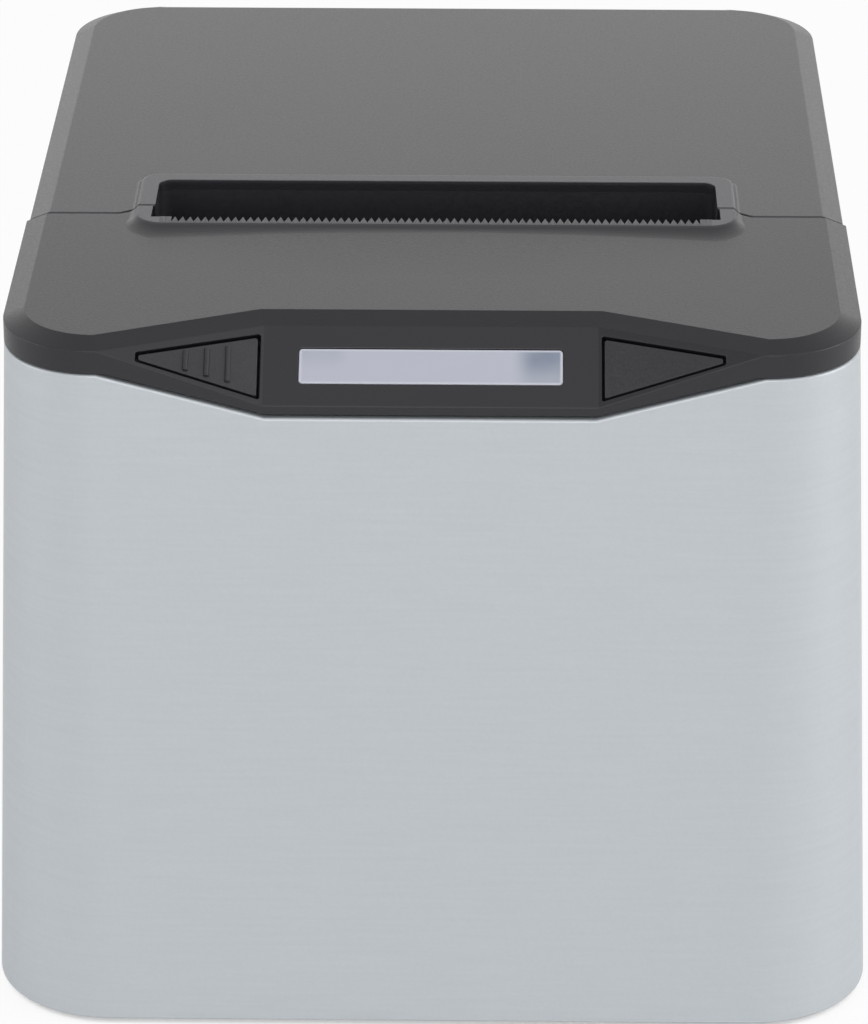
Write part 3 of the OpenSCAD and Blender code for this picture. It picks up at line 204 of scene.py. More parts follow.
pinionBrass = workedMetal("machinedBrassPinion", "#C9A35A", "#AC8741", 0.3, (0.2, 3, 3))
motorCan = workedMetal("platedSteelCan", "#B6B8BB", "#9FA2A6", 0.36, (0.4, 5, 5))
print("materials made:", len(bpy.data.materials))


# shapes, all written in millimetres
def newPiece(name, bm):
    bmesh.ops.recalc_face_normals(bm, faces=bm.faces)
    mesh = bpy.data.meshes.new(name)
    bm.to_mesh(mesh)
    bm.free()
    piece = bpy.data.objects.new(name, mesh)
    scene.collection.objects.link(piece)
    return piece


def loft(name, rings):
    bm = bmesh.new()
    loops = [[bm.verts.new(Vector(p) * mm) for p in ring] for ring in rings]
    count = len(rings[0])
    for low, high in zip(loops, loops[1:]):
        for i in range(count):
            bm.faces.new((low[i], low[(i + 1) % count], high[(i + 1) % count], high[i]))
    bm.faces.new(list(reversed(loops[0])))
    bm.faces.new(loops[-1])
    return newPiece(name, bm)


def prism(name, outline, z0, z1, at=Matrix()):
    return loft(name, [[at @ Vector((x, y, z)) for x, y in outline] for z in (z0, z1)])


def block(name, x0, x1, y0, y1, z0, z1, at=Matrix()):
    return prism(name, [(x0, y0), (x1, y0), (x1, y1), (x0, y1)], z0, z1, at)


def ringAt(outline, z):
    return [(x, y, z) for x, y in outline]


def circle(r, steps, mid=(0.0, 0.0)):
    turn = [2 * math.pi * s / steps for s in range(steps)]
    return [(mid[0] + r * math.cos(a), mid[1] + r * math.sin(a)) for a in turn]


def roundRect(px, py, r, grow=0.0, steps=16, mid=(0.0, 0.0)):
    points = []
    for k, (sx, sy) in enumerate(((1, 1), (-1, 1), (-1, -1), (1, -1))):
        for s in range(steps + 1):
            a = math.radians(90 * k + 90 * s / steps)
            points.append((mid[0] + sx * (px - r) + (r + grow) * math.cos(a),
                           mid[1] + sy * (py - r) + (r + grow) * math.sin(a)))
    return points


# outline with its corners rounded to radius r
def roundCorners(outline, r, steps=4):
    points = []
    count = len(outline)
    for i in range(count):
        before, here, after = (Vector(outline[(i + k) % count]) for k in (-1, 0, 1))
        u, v = (before - here).normalized(), (after - here).normalized()
        half = u.angle(v) / 2
        mid = here + (u + v).normalized() * r / math.sin(half)
        a0 = (here + u * r / math.tan(half)) - mid
        a1 = (here + v * r / math.tan(half)) - mid
        for s in range(steps + 1):
            arm = a0.lerp(a1, s / steps).normalized() * r
            points.append(tuple(mid + arm))
    return points


# convex outline moved in by d
def inset(outline, d):
    points = []
    count = len(outline)
    middle = sum((Vector(p) for p in outline), Vector((0.0, 0.0))) / count
    for i in range(count):
        before, here, after = (Vector(outline[(i + k) % count]) for k in (-1, 0, 1))
        norms = []
        for a, b in ((before, here), (here, after)):
            n = Vector((b.y - a.y, a.x - b.x)).normalized()
            norms.append(n if n.dot(middle - a) > 0 else -n)
        points.append(tuple(here + d * (norms[0] + norms[1]) / (1 + norms[0].dot(norms[1]))))
    return points


# cuts by a plane and closes the cut; what lies on the side that the normal points to stays
def trim(bm, point, normal):
    whole = bm.verts[:] + bm.edges[:] + bm.faces[:]
    bmesh.ops.bisect_plane(bm, geom=whole, plane_co=Vector(point) * mm, plane_no=normal, clear_inner=True)
    bmesh.ops.holes_fill(bm, edges=[e for e in bm.edges if e.is_boundary], sides=0)


def wedge(name, low, high, planes):
    bm = bmesh.new()
    bmesh.ops.create_cube(bm, size=1.0)
    for v in bm.verts:
        v.co = Vector([(a + b) / 2 + c * (b - a) for a, b, c in zip(low, high, v.co)]) * mm
    for point, normal in planes:
        trim(bm, point, normal)
    return newPiece(name, bm)


# turns a piece's modifiers into plain mesh
def settle(piece):
    graph = bpy.context.evaluated_depsgraph_get()
    mesh = bpy.data.meshes.new_from_object(piece.evaluated_get(graph))
    piece.modifiers.clear()
    old, piece.data = piece.data, mesh
    bpy.data.meshes.remove(old)
    mesh.name = piece.name
    return piece


def carve(piece, *tools, how="DIFFERENCE"):
    for tool in tools:
        cut = piece.modifiers.new("cut", "BOOLEAN")
        cut.operation = how
        cut.solver = "EXACT"
        cut.object = tool
        settle(piece)
        bpy.data.objects.remove(tool, do_unlink=True)
    return piece


# rounds every edge sharper than angle; shallow folds, and edges inside the box fine, by a smaller share
edges = {"weld": 0.001, "merge": 0.04, "flat": 0.3, "shallow": 20.0, "share": 0.35}


def roundEdges(piece, width, steps=2, angle=25.0, fine=None):
    bm = bmesh.new()
    bm.from_mesh(piece.data)
    bmesh.ops.remove_doubles(bm, verts=bm.verts, dist=edges["merge"] * mm)
    bmesh.ops.dissolve_limit(bm, angle_limit=math.radians(edges["flat"]), verts=bm.verts, edges=bm.edges)
    weight = bm.edges.layers.float.new("bevel_weight_edge")
    for e in bm.edges:
        fold = math.degrees(e.calc_face_angle(0.0))
        if fold > angle:
            mid = (e.verts[0].co + e.verts[1].co) / 2 / mm
            inside = fine and all(a <= m <= b for a, m, b in zip(fine[0], mid, fine[1]))
            e[weight] = edges["share"] if inside or fold < edges["shallow"] else 1.0
    bm.to_mesh(piece.data)
    bm.free()
    edge = piece.modifiers.new("edge", "BEVEL")
    edge.width = width * mm
    edge.segments = steps
    edge.limit_method = "WEIGHT"
    edge.use_clamp_overlap = False
    return settle(piece)


# smooth shading that keeps flat faces flat beside their rounded edges
def shadeSmooth(piece, angle=40.0):
    piece.data.polygons.foreach_set("use_smooth", [True] * len(piece.data.polygons))
    piece.data.set_sharp_from_angle(angle=math.radians(angle))
    shade = piece.modifiers.new("shade", "WEIGHTED_NORMAL")
    shade.keep_sharp = True
    return settle(piece)


def place(piece, body, slotName, material, *nodes):
    piece.data.materials.clear()
    piece.data.materials.append(material)
    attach(piece, body)
    if nodes:
        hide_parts(*nodes)
    return piece


# outline of the whole casing, shared by shell, cover and lid
casing = {"halfX": 60.0, "halfY": 72.5, "corner": 13.5, "steps": 24, "top": 106.0, "band": 104.8,
          "chamfer": 3.0, "coverZ": 101.4, "wall": 1.8, "hingeY": 68.0, "hingeZ": 101.5, "roundOver": 14.0,
          "smoothUnder": 7.0}
# how far its cutters reach: past its sides, past everything, below, above, and a little past an edge
cutter = {"side": 90.0, "far": 150.0, "low": 80.0, "high": 130.0, "past": 1.0}
alongX = Matrix(((0, 0, 1, 0), (1, 0, 0, 0), (0, 1, 0, 0), (0, 0, 0, 1)))
alongY = Matrix.Rotation(math.radians(90), 4, "X")

# outer shell
shell = {"foot": 1.0, "rim": 101.2, "draft": 4.0, "wall": 2.0, "notchX": 23.0, "notchZ": 95.0,
         "notchRimX": 46.25, "hingeCut": 5.2, "socketX": 39.5, "socketZ": (5.5, 20.5), "cutDeep": 8.0,
         "edge": 0.4}


# half the width of the notch in the shell's front, at height z
def notchHalf(z):
    s = shell
    return s["notchX"] + (s["notchRimX"] - s["notchX"]) * (z - s["notchZ"]) / (s["rim"] - s["notchZ"])


def makeShell():
    c, s, end = casing, shell, cutter["side"]
    inner, outer = c["halfY"] - s["cutDeep"], c["halfY"] + s["cutDeep"]
    below, above = s["foot"] - cutter["past"], s["rim"] + cutter["past"]

    def ring(z, wall):
        lean = s["draft"] * (s["rim"] - z) / (s["rim"] - s["foot"])
        return ringAt(roundRect(c["halfX"], c["halfY"], c["corner"], lean - wall, c["steps"]), z)

    piece = loft("outerShell", [ring(s["foot"], 0), ring(s["rim"], 0)])
    carve(piece, loft("inside", [ring(below, s["wall"]), ring(above, s["wall"])]))
    nx, nz = s["notchX"], s["notchZ"]
    notch = [(-notchHalf(above), above), (-nx, nz), (nx, nz), (notchHalf(above), above)]
    hinge = circle(s["hingeCut"], 48, (c["hingeY"], c["hingeZ"]))
    carve(piece, prism("notch", notch, inner, outer, alongY), prism("hinge", hinge, -end, end, alongX),
          block("sockets", -s["socketX"], s["socketX"], inner, outer, *s["socketZ"]))
    shadeSmooth(roundEdges(piece, s["edge"], 3))
    return place(piece, "chassis", "shell_paint", silver, "outer_shell")


makeShell()
print("outer shell made")

# front cover: panel frame, parting line, lip round the slot
panel = {"mid": (0.0, -67.6, 100.8), "tilt": 39.2257, "foldX": 23.25, "fold": 15.2381, "foldY": -62.7,
         "tipX": 46.0, "cutZ": (40.0, 200.0), "chamferZ": (95.0, 111.0), "drop": 0.5, "tongueIn": 1.0,
         "windowX": 18.4, "windowY": 2.8, "windowR": 0.6, "windowDeep": 4.0, "edge": 0.1,
         "hole": [(0.45, 4.9), (0.45, -5.4), (18.08, -1.95), (18.08, -0.55)], "holeR": 0.3,
         "holeZ": (-6.0, 10.0), "bossIn": 2.55, "bossR": 1.6, "bossTop": -1.0, "boreR": 0.9, "boreTop": -4.0,
         "boardZ": -8.0}
topLine = {"part": -23.3, "ear": -22.0, "inner": 44.0, "outer": 46.7, "gap": 0.4, "steps": 12}
slot = {"halfX": 41.2, "back": -11.5, "front": -60.0, "mouthR": 2.0, "tip": -26.5, "root": -28.5,
        "lip": -28.9, "lipX": 43.7, "lipH": 0.8, "lipR": 4.0, "lipRun": 6.6, "lipSink": 0.04, "lipSteps": 12,
        "lipPitch": 2.0, "sweepX": 1.4, "crown": 0.42, "crownX": 42.0, "skirt": 16.0, "skirtX": 0.03,
        "skirtDeep": 1.0, "endGap": 0.3, "tearX": 40.2, "tearT": 0.8, "seatFront": 0.2, "seatEnd": 0.5,
        "rootGap": 0.1, "rimW": 2.5, "rimH": 0.8, "rimSlope": 0.7, "rimSink": 0.6, "rimFront": -30.0,
        "tight": 0.3}
onPanel = Matrix.Translation(panel["mid"]) @ Matrix.Rotation(math.radians(panel["tilt"]), 4, "X")


def onFacet(side):
    return (onPanel @ Matrix.Translation((side * panel["foldX"], 0, 0))
            @ Matrix.Rotation(math.radians(-side * panel["fold"]), 4, "Y"))


def panelCut(name, sunk):
    planes = []
    for at in (onPanel, onFacet(1), onFacet(-1)):
        planes.append((at @ Vector((0, 0, -sunk)), at.to_3x3() @ Vector((0, 0, 1))))
    far, (low, high) = cutter["far"], panel["cutZ"]
    return wedge(name, (-far, -far, low), (far, 0, high), planes)


def chamferCut(name):
    slope = math.atan2(casing["top"] - casing["band"], casing["chamfer"])
    yaw = math.atan2(-(panel["foldY"] + casing["halfY"]), panel["tipX"] - panel["foldX"])
    planes = []
    for side in (0, 1, -1):
        normal = Vector((0, -math.sin(slope), math.cos(slope)))
        normal.rotate(Matrix.Rotation(side * yaw, 3, "Z"))
        planes.append(((side * panel["foldX"], panel["foldY"], casing["band"]), normal))
    far, (low, high) = cutter["far"], panel["chamferZ"]
    return wedge(name, (-far, -far, low), (far, 0, high), planes)


def cap(name, halfX, z0):
    c = casing
    rings = [roundRect(halfX, c["halfY"], c["corner"], grow, c["steps"]) for grow in (0, 0, -c["chamfer"])]
    return loft(name, [ringAt(ring, z) for ring, z in zip(rings, (z0, c["band"], c["top"]))])


# parting line between cover and lid, with its S-bends beside the slot
def partLine(shift):
    t, end = topLine, cutter["side"]
    bend = []
    for k in range(t["steps"] + 1):
        f = k / t["steps"]
        smooth = f * f * (3 - 2 * f)
        bend.append((t["inner"] + (t["outer"] - t["inner"]) * f,
                     t["ear"] + (t["part"] - t["ear"]) * smooth + shift))
    mirrored = [(-x, y) for x, y in reversed(bend)]
    return [(-end, t["part"] + shift)] + mirrored + bend + [(end, t["part"] + shift)]


# the lip falls to the cover in a curve, short at mid-width, where the cover is crowned, and long at the ends
def lipSweep(name):
    s, sink = slot, slot["lipSink"]
    half, mid, r = -s["lip"] / 2, (0, s["lip"] / 2), s["lipR"]
    edge, centre = (roundRect(s["lipX"], half, r, grow, s["lipSteps"], mid) for grow in (0, -r))
    pairs = [(*a, *b) for a, b in zip(edge, centre)]
    path = []
    for a, b in zip(pairs, pairs[1:] + pairs[:1]):
        n = max(1, round(math.dist(a[:2], b[:2]) / s["lipPitch"]))
        path += [[p + (q - p) * k / n for p, q in zip(a, b)] for k in range(n)]

    def ring(t, skirt, deep=None):
        points = []
        for px, py, cx, cy in path:
            n = Vector((px - cx, py - cy)) / r
            swell = s["crown"] * max(0.0, 1 - (px / s["crownX"]) ** 2)
            run = s["lipRun"] * (s["lipH"] - swell)
            reach = math.hypot(s["sweepX"] * n.x, run * n.y) * (1 - t) + skirt * (s["skirtX"] + abs(n.y))
            rise = -deep if deep else swell - sink + (s["lipH"] + sink - swell) * t * t
            points.append((px + n.x * reach, py + n.y * reach, casing["top"] + rise))
        return points

    steps = s["lipSteps"]
    return loft(name, [ring(0, s["skirt"], s["skirtDeep"]), ring(0, s["skirt"], sink)]
                + [ring(k / steps, 0) for k in range(steps + 1)])


# outline of a key's hole in the panel, moved in by d
def keyHole(side, d):
    outline = roundCorners(inset(panel["hole"], d), panel["holeR"])
    squeeze = math.cos(math.radians(panel["fold"]))
    return [(side * (panel["foldX"] + x * squeeze), y) for x, y in outline]


def makeCover():
    c, s, p = casing, slot, panel
    end, far, low, high = (cutter[reach] for reach in ("side", "far", "low", "high"))
    nx, nz, z0 = shell["notchX"], shell["notchZ"] + p["drop"], c["coverZ"]
    wide = notchHalf(z0 - p["drop"])
    piece = cap("frontCover", c["halfX"], shell["notchZ"] - cutter["past"])
    carve(piece, lipSweep("lip"), how="UNION")
    below = [(-end, low), (end, low), (end, z0), (wide, z0), (nx, nz), (-nx, nz), (-wide, z0), (-end, z0)]
    behind = partLine(-topLine["gap"] / 2) + [(end, far), (-end, far)]
    carve(piece, prism("below", below, -end, end, alongY),
          block("tongueBack", -end, end, p["foldY"] + p["tongueIn"], end, low, z0),
          prism("behind", behind, low, high), panelCut("panelFace", 0), chamferCut("frontChamfer"))
    inner = roundRect(c["halfX"] - c["wall"], c["halfY"] - c["wall"], c["corner"] - c["wall"], 0, c["steps"])
    hollow = carve(prism("hollow", inner, low, c["top"] - c["wall"]), panelCut("panelBack", c["wall"]))
    opening = roundRect(p["windowX"], p["windowY"], p["windowR"], 0, 4)
    carve(piece, hollow, prism("windowHole", opening, -p["windowDeep"], p["windowDeep"], onPanel))
    under = p["boardZ"] - cutter["past"]
    for side in (1, -1):
        mid = (side * (p["foldX"] - p["bossIn"]), 0.0)
        post = prism("panelBoss", circle(p["bossR"], 24, mid), p["boardZ"], p["bossTop"], onPanel)
        bore = prism("bossBore", circle(p["boreR"], 16, mid), under, p["boreTop"], onPanel)
        carve(piece, post, how="UNION")
        carve(piece, bore, prism("keyHole", keyHole(side, 0), *p["holeZ"], onPanel))
    gapX, barX, seatZ = s["halfX"] + s["endGap"], s["tearX"], c["top"] + s["lipH"] - s["tearT"]
    carve(piece, block("slotGap", -gapX, gapX, s["tip"], 0, low, high),
          block("slotRoot", -barX, barX, s["root"] - s["rootGap"], 0, low, high),
          block("barSeat", -barX, barX, s["lip"] + s["seatFront"], 0, seatZ, high))
    # the bar's seat keeps tight edges
    seat = ((-barX - s["seatEnd"], s["lip"] - s["seatFront"], c["top"]),
            (barX + s["seatEnd"], s["tip"] + s["tight"], c["top"] + 2 * s["lipH"]))
    shadeSmooth(roundEdges(piece, p["edge"], 2, c["roundOver"], seat), c["smoothUnder"])
    return place(piece, "chassis", "cover_grey", coverAbs, "front_cover")


makeCover()
print("front cover made")

# tear bar: a stamped strip with teeth set along it by geometry nodes
tearBar = {"teeth": 70, "pitch": 1.1, "length": 2.0, "front": 0.22}


def newTree(name, sockets):
    tree = bpy.data.node_groups.new(name, "GeometryNodeTree")
    tree.interface.new_socket("Geometry", in_out="OUTPUT", socket_type="NodeSocketGeometry")
    named = {}
    for label, kind in sockets.items():
        socket = tree.interface.new_socket(label, in_out="INPUT", socket_type="NodeSocket" + kind)
        named[label] = socket.identifier
    return tree, addNode(tree, "NodeGroupInput").outputs, named


# gives the shape its finish and hands it out of the tree
def endTree(tree, shape, finish):
    coated = addNode(tree, "GeometryNodeSetMaterial", {"Geometry": shape, "Material": finish})
    addNode(tree, "NodeGroupOutput", {"Geometry": coated})


def runTree(piece, tree, named, values):
    grow = piece.modifiers.new("grow", "NODES")
    grow.node_group = tree
    for label, value in values.items():
        grow[named[label]] = value
    return settle(piece)


def teethTree():
    tree, given, named = newTree("tearTeeth", {
        "Geometry": "Geometry", "Count": "Int", "Pitch": "Float", "Length": "Float", "Thickness": "Float",
        "First": "Vector", "Finish": "Material"})
    step = addNode(tree, "ShaderNodeCombineXYZ", {"X": given["Pitch"]})
    row = addNode(tree, "GeometryNodeMeshLine", {"Count": given["Count"], "Start Location": given["First"],
                                                 "Offset": step})
    tooth = addNode(tree, "GeometryNodeMeshCylinder", {"Vertices": 3, "Radius": 1.0,
                                                       "Depth": given["Thickness"]})
    # a three-sided cylinder is 1.5 radii long and 1.732 wide
    long = addNode(tree, "ShaderNodeMath", {0: given["Length"], 1: 1.5}, operation="DIVIDE")
    wide = addNode(tree, "ShaderNodeMath", {0: given["Pitch"], 1: math.sqrt(3)}, operation="DIVIDE")
    size = addNode(tree, "ShaderNodeCombineXYZ", {"X": long, "Y": wide, "Z": 1.0})
    point = addNode(tree, "GeometryNodeTransform", {"Geometry": tooth, "Scale": size,
                                                    "Rotation": (0, 0, math.radians(90))})
    teeth = addNode(tree, "GeometryNodeInstanceOnPoints", {"Points": row, "Instance": point})
    real = addNode(tree, "GeometryNodeRealizeInstances", {"Geometry": teeth})
    joined = addNode(tree, "GeometryNodeJoinGeometry", {"Geometry": given["Geometry"]})
    setInputs(tree, joined, {"Geometry": real})
    endTree(tree, joined, given["Finish"])
    return tree, named


def makeTearBar():
    s, b = slot, tearBar
    half, top, x = b["teeth"] * b["pitch"] / 2, casing["top"] + s["lipH"], s["tearX"]
    front, root, tip = s["lip"] + b["front"], s["root"], s["tip"]
    strip = [(-x, tip), (-x, front), (x, front), (x, tip),
             (half, tip), (half, root), (-half, root), (-half, tip)]
    piece = prism("tearBar", strip, top - s["tearT"], top)
    tree, named = teethTree()
    first = Vector((-half + b["pitch"] / 2, root + b["length"] / 3, top - s["tearT"] / 2)) * mm
    runTree(piece, tree, named, {"Count": b["teeth"], "Pitch": b["pitch"] * mm, "Length": b["length"] * mm,
                                 "Thickness": s["tearT"] * mm, "First": first, "Finish": bladeSteel})
    return place(piece, "chassis", "blade_steel", bladeSteel, "tear_bar")


makeTearBar()
print("tear bar made")

# paper lid
lid = {"halfX": 59.6, "barrelR": 4.9, "barrelEnd": 1.8, "barrelSteps": 64, "cavityX": 57.8, "edge": 0.22,
       "cavityY": (-18.2, 62.1), "pinR": 1.6, "pinX": 46.8, "earX": 33.5, "earHalf": 3.9, "earClear": 0.5,
       "earTop": 3.7, "throatZ": (96.0, 105.2), "throatWall": (-0.03, 0.15), "throatFront": 1.0}


# the slot's opening in the lid, which runs on to the front past the parting line
def mouthOutline(grow):
    s = slot
    half, mid = (s["back"] - s["front"]) / 2, (s["back"] + s["front"]) / 2
    return roundRect(s["halfX"], half, s["mouthR"], grow, 8, (0, mid))


def makeLid():
    c, s, d = casing, slot, lid
    end, far, low, high, past = (cutter[reach] for reach in ("side", "far", "low", "high", "past"))
    hinge, r = (c["hingeY"], c["hingeZ"]), d["barrelR"]
    piece = cap("paperLid", d["halfX"], hinge[1] - r - past)
    # seen from the side, the lid's rear edge wraps round the hinge as a barrel
    a0 = math.pi + math.asin((hinge[1] - c["coverZ"]) / r)
    a1 = 2 * math.pi + math.acos(d["barrelEnd"] / r)
    arc = [a0 + (a1 - a0) * k / d["barrelSteps"] for k in range(d["barrelSteps"] + 1)]
    barrel = [(hinge[0] + r * math.cos(a), hinge[1] + r * math.sin(a)) for a in arc]
    outline = [(-far, c["coverZ"])] + barrel + [(hinge[0] + d["barrelEnd"], far), (-far, far)]
    carve(piece, prism("lidSide", outline, -end, end, alongX), how="INTERSECT")
    rimX, front, back = s["halfX"] + s["rimW"], s["rimFront"], s["back"] + s["rimW"]
    levels = ((s["rimSlope"], -s["rimSink"]), (s["rimSlope"], 0), (0, s["rimH"]))
    half, mid = (back - front) / 2, (0, (front + back) / 2)
    rings = [ringAt(roundRect(rimX, half, s["rimW"], grow, 16, mid), c["top"] + z) for grow, z in levels]
    carve(piece, loft("slotRim", rings), how="UNION")
    ahead = partLine(topLine["gap"] / 2) + [(end, -far), (-end, -far)]
    carve(piece, prism("front", ahead, low, high),
          block("cavity", -d["cavityX"], d["cavityX"], *d["cavityY"], low, c["top"] - c["wall"]),
          prism("mouth", mouthOutline(0), low, high),
          prism("pinBore", circle(d["pinR"], 24, hinge), -d["pinX"], d["pinX"], alongX))
    for side in (1, -1):
        x0, x1 = side * d["earX"] - d["earHalf"], side * d["earX"] + d["earHalf"]
        carve(piece, block("earGap", x0, x1, hinge[0] - r - d["earClear"], c["halfY"] + past, low,
                           hinge[1] + d["earTop"]))
    # the mouth of the slot keeps tight edges
    mouthX, t = s["halfX"] + s["tight"], s["tight"]
    tight = ((-mouthX, front, c["top"] + t), (mouthX, s["back"] + t, c["top"] + 2 * s["rimH"]))
    shadeSmooth(roundEdges(piece, d["edge"], 2, c["roundOver"], tight), c["smoothUnder"])
    return place(piece, "lid", "lid_grey", lidAbs, "paper_lid")


# wall that returns down from the slot's rear and end edges
def makeThroat():
    front = topLine["ear"] + lid["throatFront"]
    paths = []
    for grow in lid["throatWall"]:
        upper = [p for p in mouthOutline(grow) if p[1] > front]
        paths.append([(upper[0][0], front)] + upper + [(upper[-1][0], front)])
    piece = prism("slotThroat", paths[1] + paths[0][::-1], *lid["throatZ"])
    return place(shadeSmooth(piece), "lid", "inner_black", innerAbs)


makeLid()
makeThroat()
print("paper lid made")

# light window, a little smaller than its hole
# the window's tones: its milk, a greyer one for the painted shade at its ends, and a paler one for the
# painted highlight along its rim
window = {"gap": 0.05, "top": -0.1, "deep": -3.0, "flangeX": 0.55, "flangeY": 0.85, "flangeZ": (-0.05, 1.15),
          "edge": 0.18, "milk": "#B2B5C2", "shadedMilk": "#778294", "rim": "#C3C5D0", "rough": 0.3, "ior": 1.49,
          "coat": 0.3, "coatRough": 0.12, "shadeNoise": 7.0, "frost": 0.25, "bump": 0.1, "depth": 0.02}


# frosted acrylic light pipe, milky and bluish; its cut rim carries a painted highlight, and painted shade
# greys it towards its ends, where no lamp is behind it
def frostedAcrylic(name, halfX, halfY):
    w = window
    mat, tree, shader = newMaterial(name, w["milk"], w["rough"], 0.0, w["ior"])
    spot = addNode(tree, "ShaderNodeTexCoord").outputs["Object"]
    flat = addNode(tree, "ShaderNodeMapping", {
        "Vector": spot, "Location": [v * mm for v in panel["mid"]],
        "Rotation": (math.radians(panel["tilt"]), 0, 0)}, vector_type="TEXTURE")
    axes = addNode(tree, "ShaderNodeSeparateXYZ", {"Vector": flat})
    across, along = axes.outputs["X"], axes.outputs["Y"]
    offX, offY = (addNode(tree, "ShaderNodeMath", {0: way}, operation="ABSOLUTE") for way in (across, along))
    # each ramp runs between two places on the window and between two levels; right and left place the painted
    # shade at the ends, the last two the painted highlight along the rim
    ramps = {"right": (across, 11.0, 14.5, 0.0, 1.0), "rightRise": (along, -2.4, 1.6, 0.35, 0.9),
             "left": (across, -11.0, -13.5, 0.0, 0.2), "leftRise": (along, -1.0, 2.0, 0.0, 1.0),
             "endHighlight": (offX, halfX - 0.55, halfX - 0.25, 0.0, 1.0),
             "sideHighlight": (offY, halfY - 0.5, halfY - 0.2, 0.0, 1.0)}
    level = {}
    for label, (way, low, high, start, end) in ramps.items():
        level[label] = addNode(tree, "ShaderNodeMapRange", {
            "Value": way, "From Min": low * mm, "From Max": high * mm, "To Min": start, "To Max": end},
            interpolation_type="SMOOTHSTEP")
    right, left = (addNode(tree, "ShaderNodeMath", {0: level[end], 1: level[end + "Rise"]},
                           operation="MULTIPLY") for end in ("right", "left"))
    ends = addNode(tree, "ShaderNodeMath", {0: right, 1: left}, operation="MAXIMUM")
    # uneven noise breaks up the painted shade
    shadeNoise = addNode(tree, "ShaderNodeTexNoise", {"Vector": spot, "Scale": 1 / (w["shadeNoise"] * mm), "Detail": 2.0})
    uneven = addNode(tree, "ShaderNodeMath", {0: shadeNoise, 1: 0.5}, operation="ADD")
    shadeShare = addNode(tree, "ShaderNodeMath", {0: ends, 1: uneven}, operation="MULTIPLY")
    # painted shade greys the window towards its ends
    tone = addNode(tree, "ShaderNodeMix", {"Factor": shadeShare, "A": hexColour(w["milk"]),
                                           "B": hexColour(w["shadedMilk"])}, data_type="RGBA")
    # painted highlight along the cut rim
    edge = addNode(tree, "ShaderNodeMath", {0: level["endHighlight"], 1: level["sideHighlight"]}, operation="MAXIMUM")
    highlighted = addNode(tree, "ShaderNodeMix", {"Factor": edge, "A": tone, "B": hexColour(w["rim"])},
                    data_type="RGBA")
    frost = addNode(tree, "ShaderNodeTexNoise", {"Vector": spot, "Scale": 1 / (w["frost"] * mm),
                                                 "Detail": 1.0})
    bump = addNode(tree, "ShaderNodeBump", {"Height": frost, "Strength": w["bump"],
                                            "Distance": w["depth"] * mm})
    setInputs(tree, shader, {"Base Color": highlighted, "Normal": bump, "Coat Weight": w["coat"],
                             "Coat Roughness": w["coatRough"]})
    return mat


def makeWindow():
    w = window
    x, y, r = (panel[size] - w["gap"] for size in ("windowX", "windowY", "windowR"))
    piece = prism("statusWindow", roundRect(x, y, r, 0, 5), w["deep"], w["top"], onPanel)
    low, high = (w["deep"] + z for z in w["flangeZ"])
    flangeX, flangeY = x + w["flangeX"], y + w["flangeY"]
    carve(piece, block("flange", -flangeX, flangeX, -flangeY, flangeY, low, high, onPanel), how="UNION")
    shadeSmooth(roundEdges(piece, w["edge"], 3))
    acrylic = frostedAcrylic("frostedAcrylicWindow", x, y)
    return place(piece, "chassis", "window_clear", acrylic, "status_window")


makeWindow()

# feed and release keys
key = {"gap": 0.4, "top": -0.1, "half": 8.0, "flange": 1.0, "clear": 0.35, "lap": 0.3, "reach": 0.9,
       "lift": 0.05, "inset": 0.2, "stemX": 7.0, "stemR": 1.6, "stemTop": 0.3, "feedStem": -3.0,
       "releaseStem": -9.0, "edge": 0.2}


def makeKey(name, side, stemEnd):
    k, c = key, casing
    under = -c["wall"] - k["flange"] - k["clear"]
    facet = onFacet(side)
    up = facet.to_3x3() @ Vector((0, 0, 1))
    piece = prism(name, keyHole(side, k["gap"]), -k["half"], k["half"], onPanel)
    bm = bmesh.new()
    bm.from_mesh(piece.data)
    trim(bm, facet @ Vector((0, 0, k["top"])), -up)
    trim(bm, facet @ Vector((0, 0, under)), up)
    bm.to_mesh(piece.data)
    bm.free()
    stem = (side * (panel["foldX"] + k["stemX"] * math.cos(math.radians(panel["fold"]))), 0.0)
    carve(piece, prism("stem", circle(k["stemR"], 20, stem), stemEnd, k["stemTop"], onPanel), how="UNION")
    # a flange under the panel stops the key and closes the view through its gap; it reaches in under the fold
    lapped = inset(panel["hole"], -k["lap"])
    outline = [(side * (x if x > k["reach"] else x - k["reach"]), y) for x, y in lapped]
    flange = prism("flange", outline, under + k["lift"], under + k["flange"], facet)
    halfX, halfY, r = (c[size] - c["wall"] for size in ("halfX", "halfY", "corner"))
    inside = roundRect(halfX, halfY, r, -k["inset"], c["steps"])
    carve(flange, prism("inside", inside, cutter["low"], c["top"]), how="INTERSECT")
    carve(piece, flange, how="UNION")
    return shadeSmooth(roundEdges(piece, k["edge"], 2))


place(makeKey("feedKey", -1, key["feedStem"]), "feed_key", "key_grey", keyAbs, "feed_button")
place(makeKey("releaseKey", 1, key["releaseStem"]), "release_key", "key_grey", keyAbs, "release_button")
print("window and keys made")

# grip ribs on the feed key, each shorter than the one before it
ribs = {"count": 3, "first": (5.0, -0.51), "step": (3.0, -0.17), "length": 5.5, "shrink": 1.26, "width": 0.8,
        "rise": 0.4}


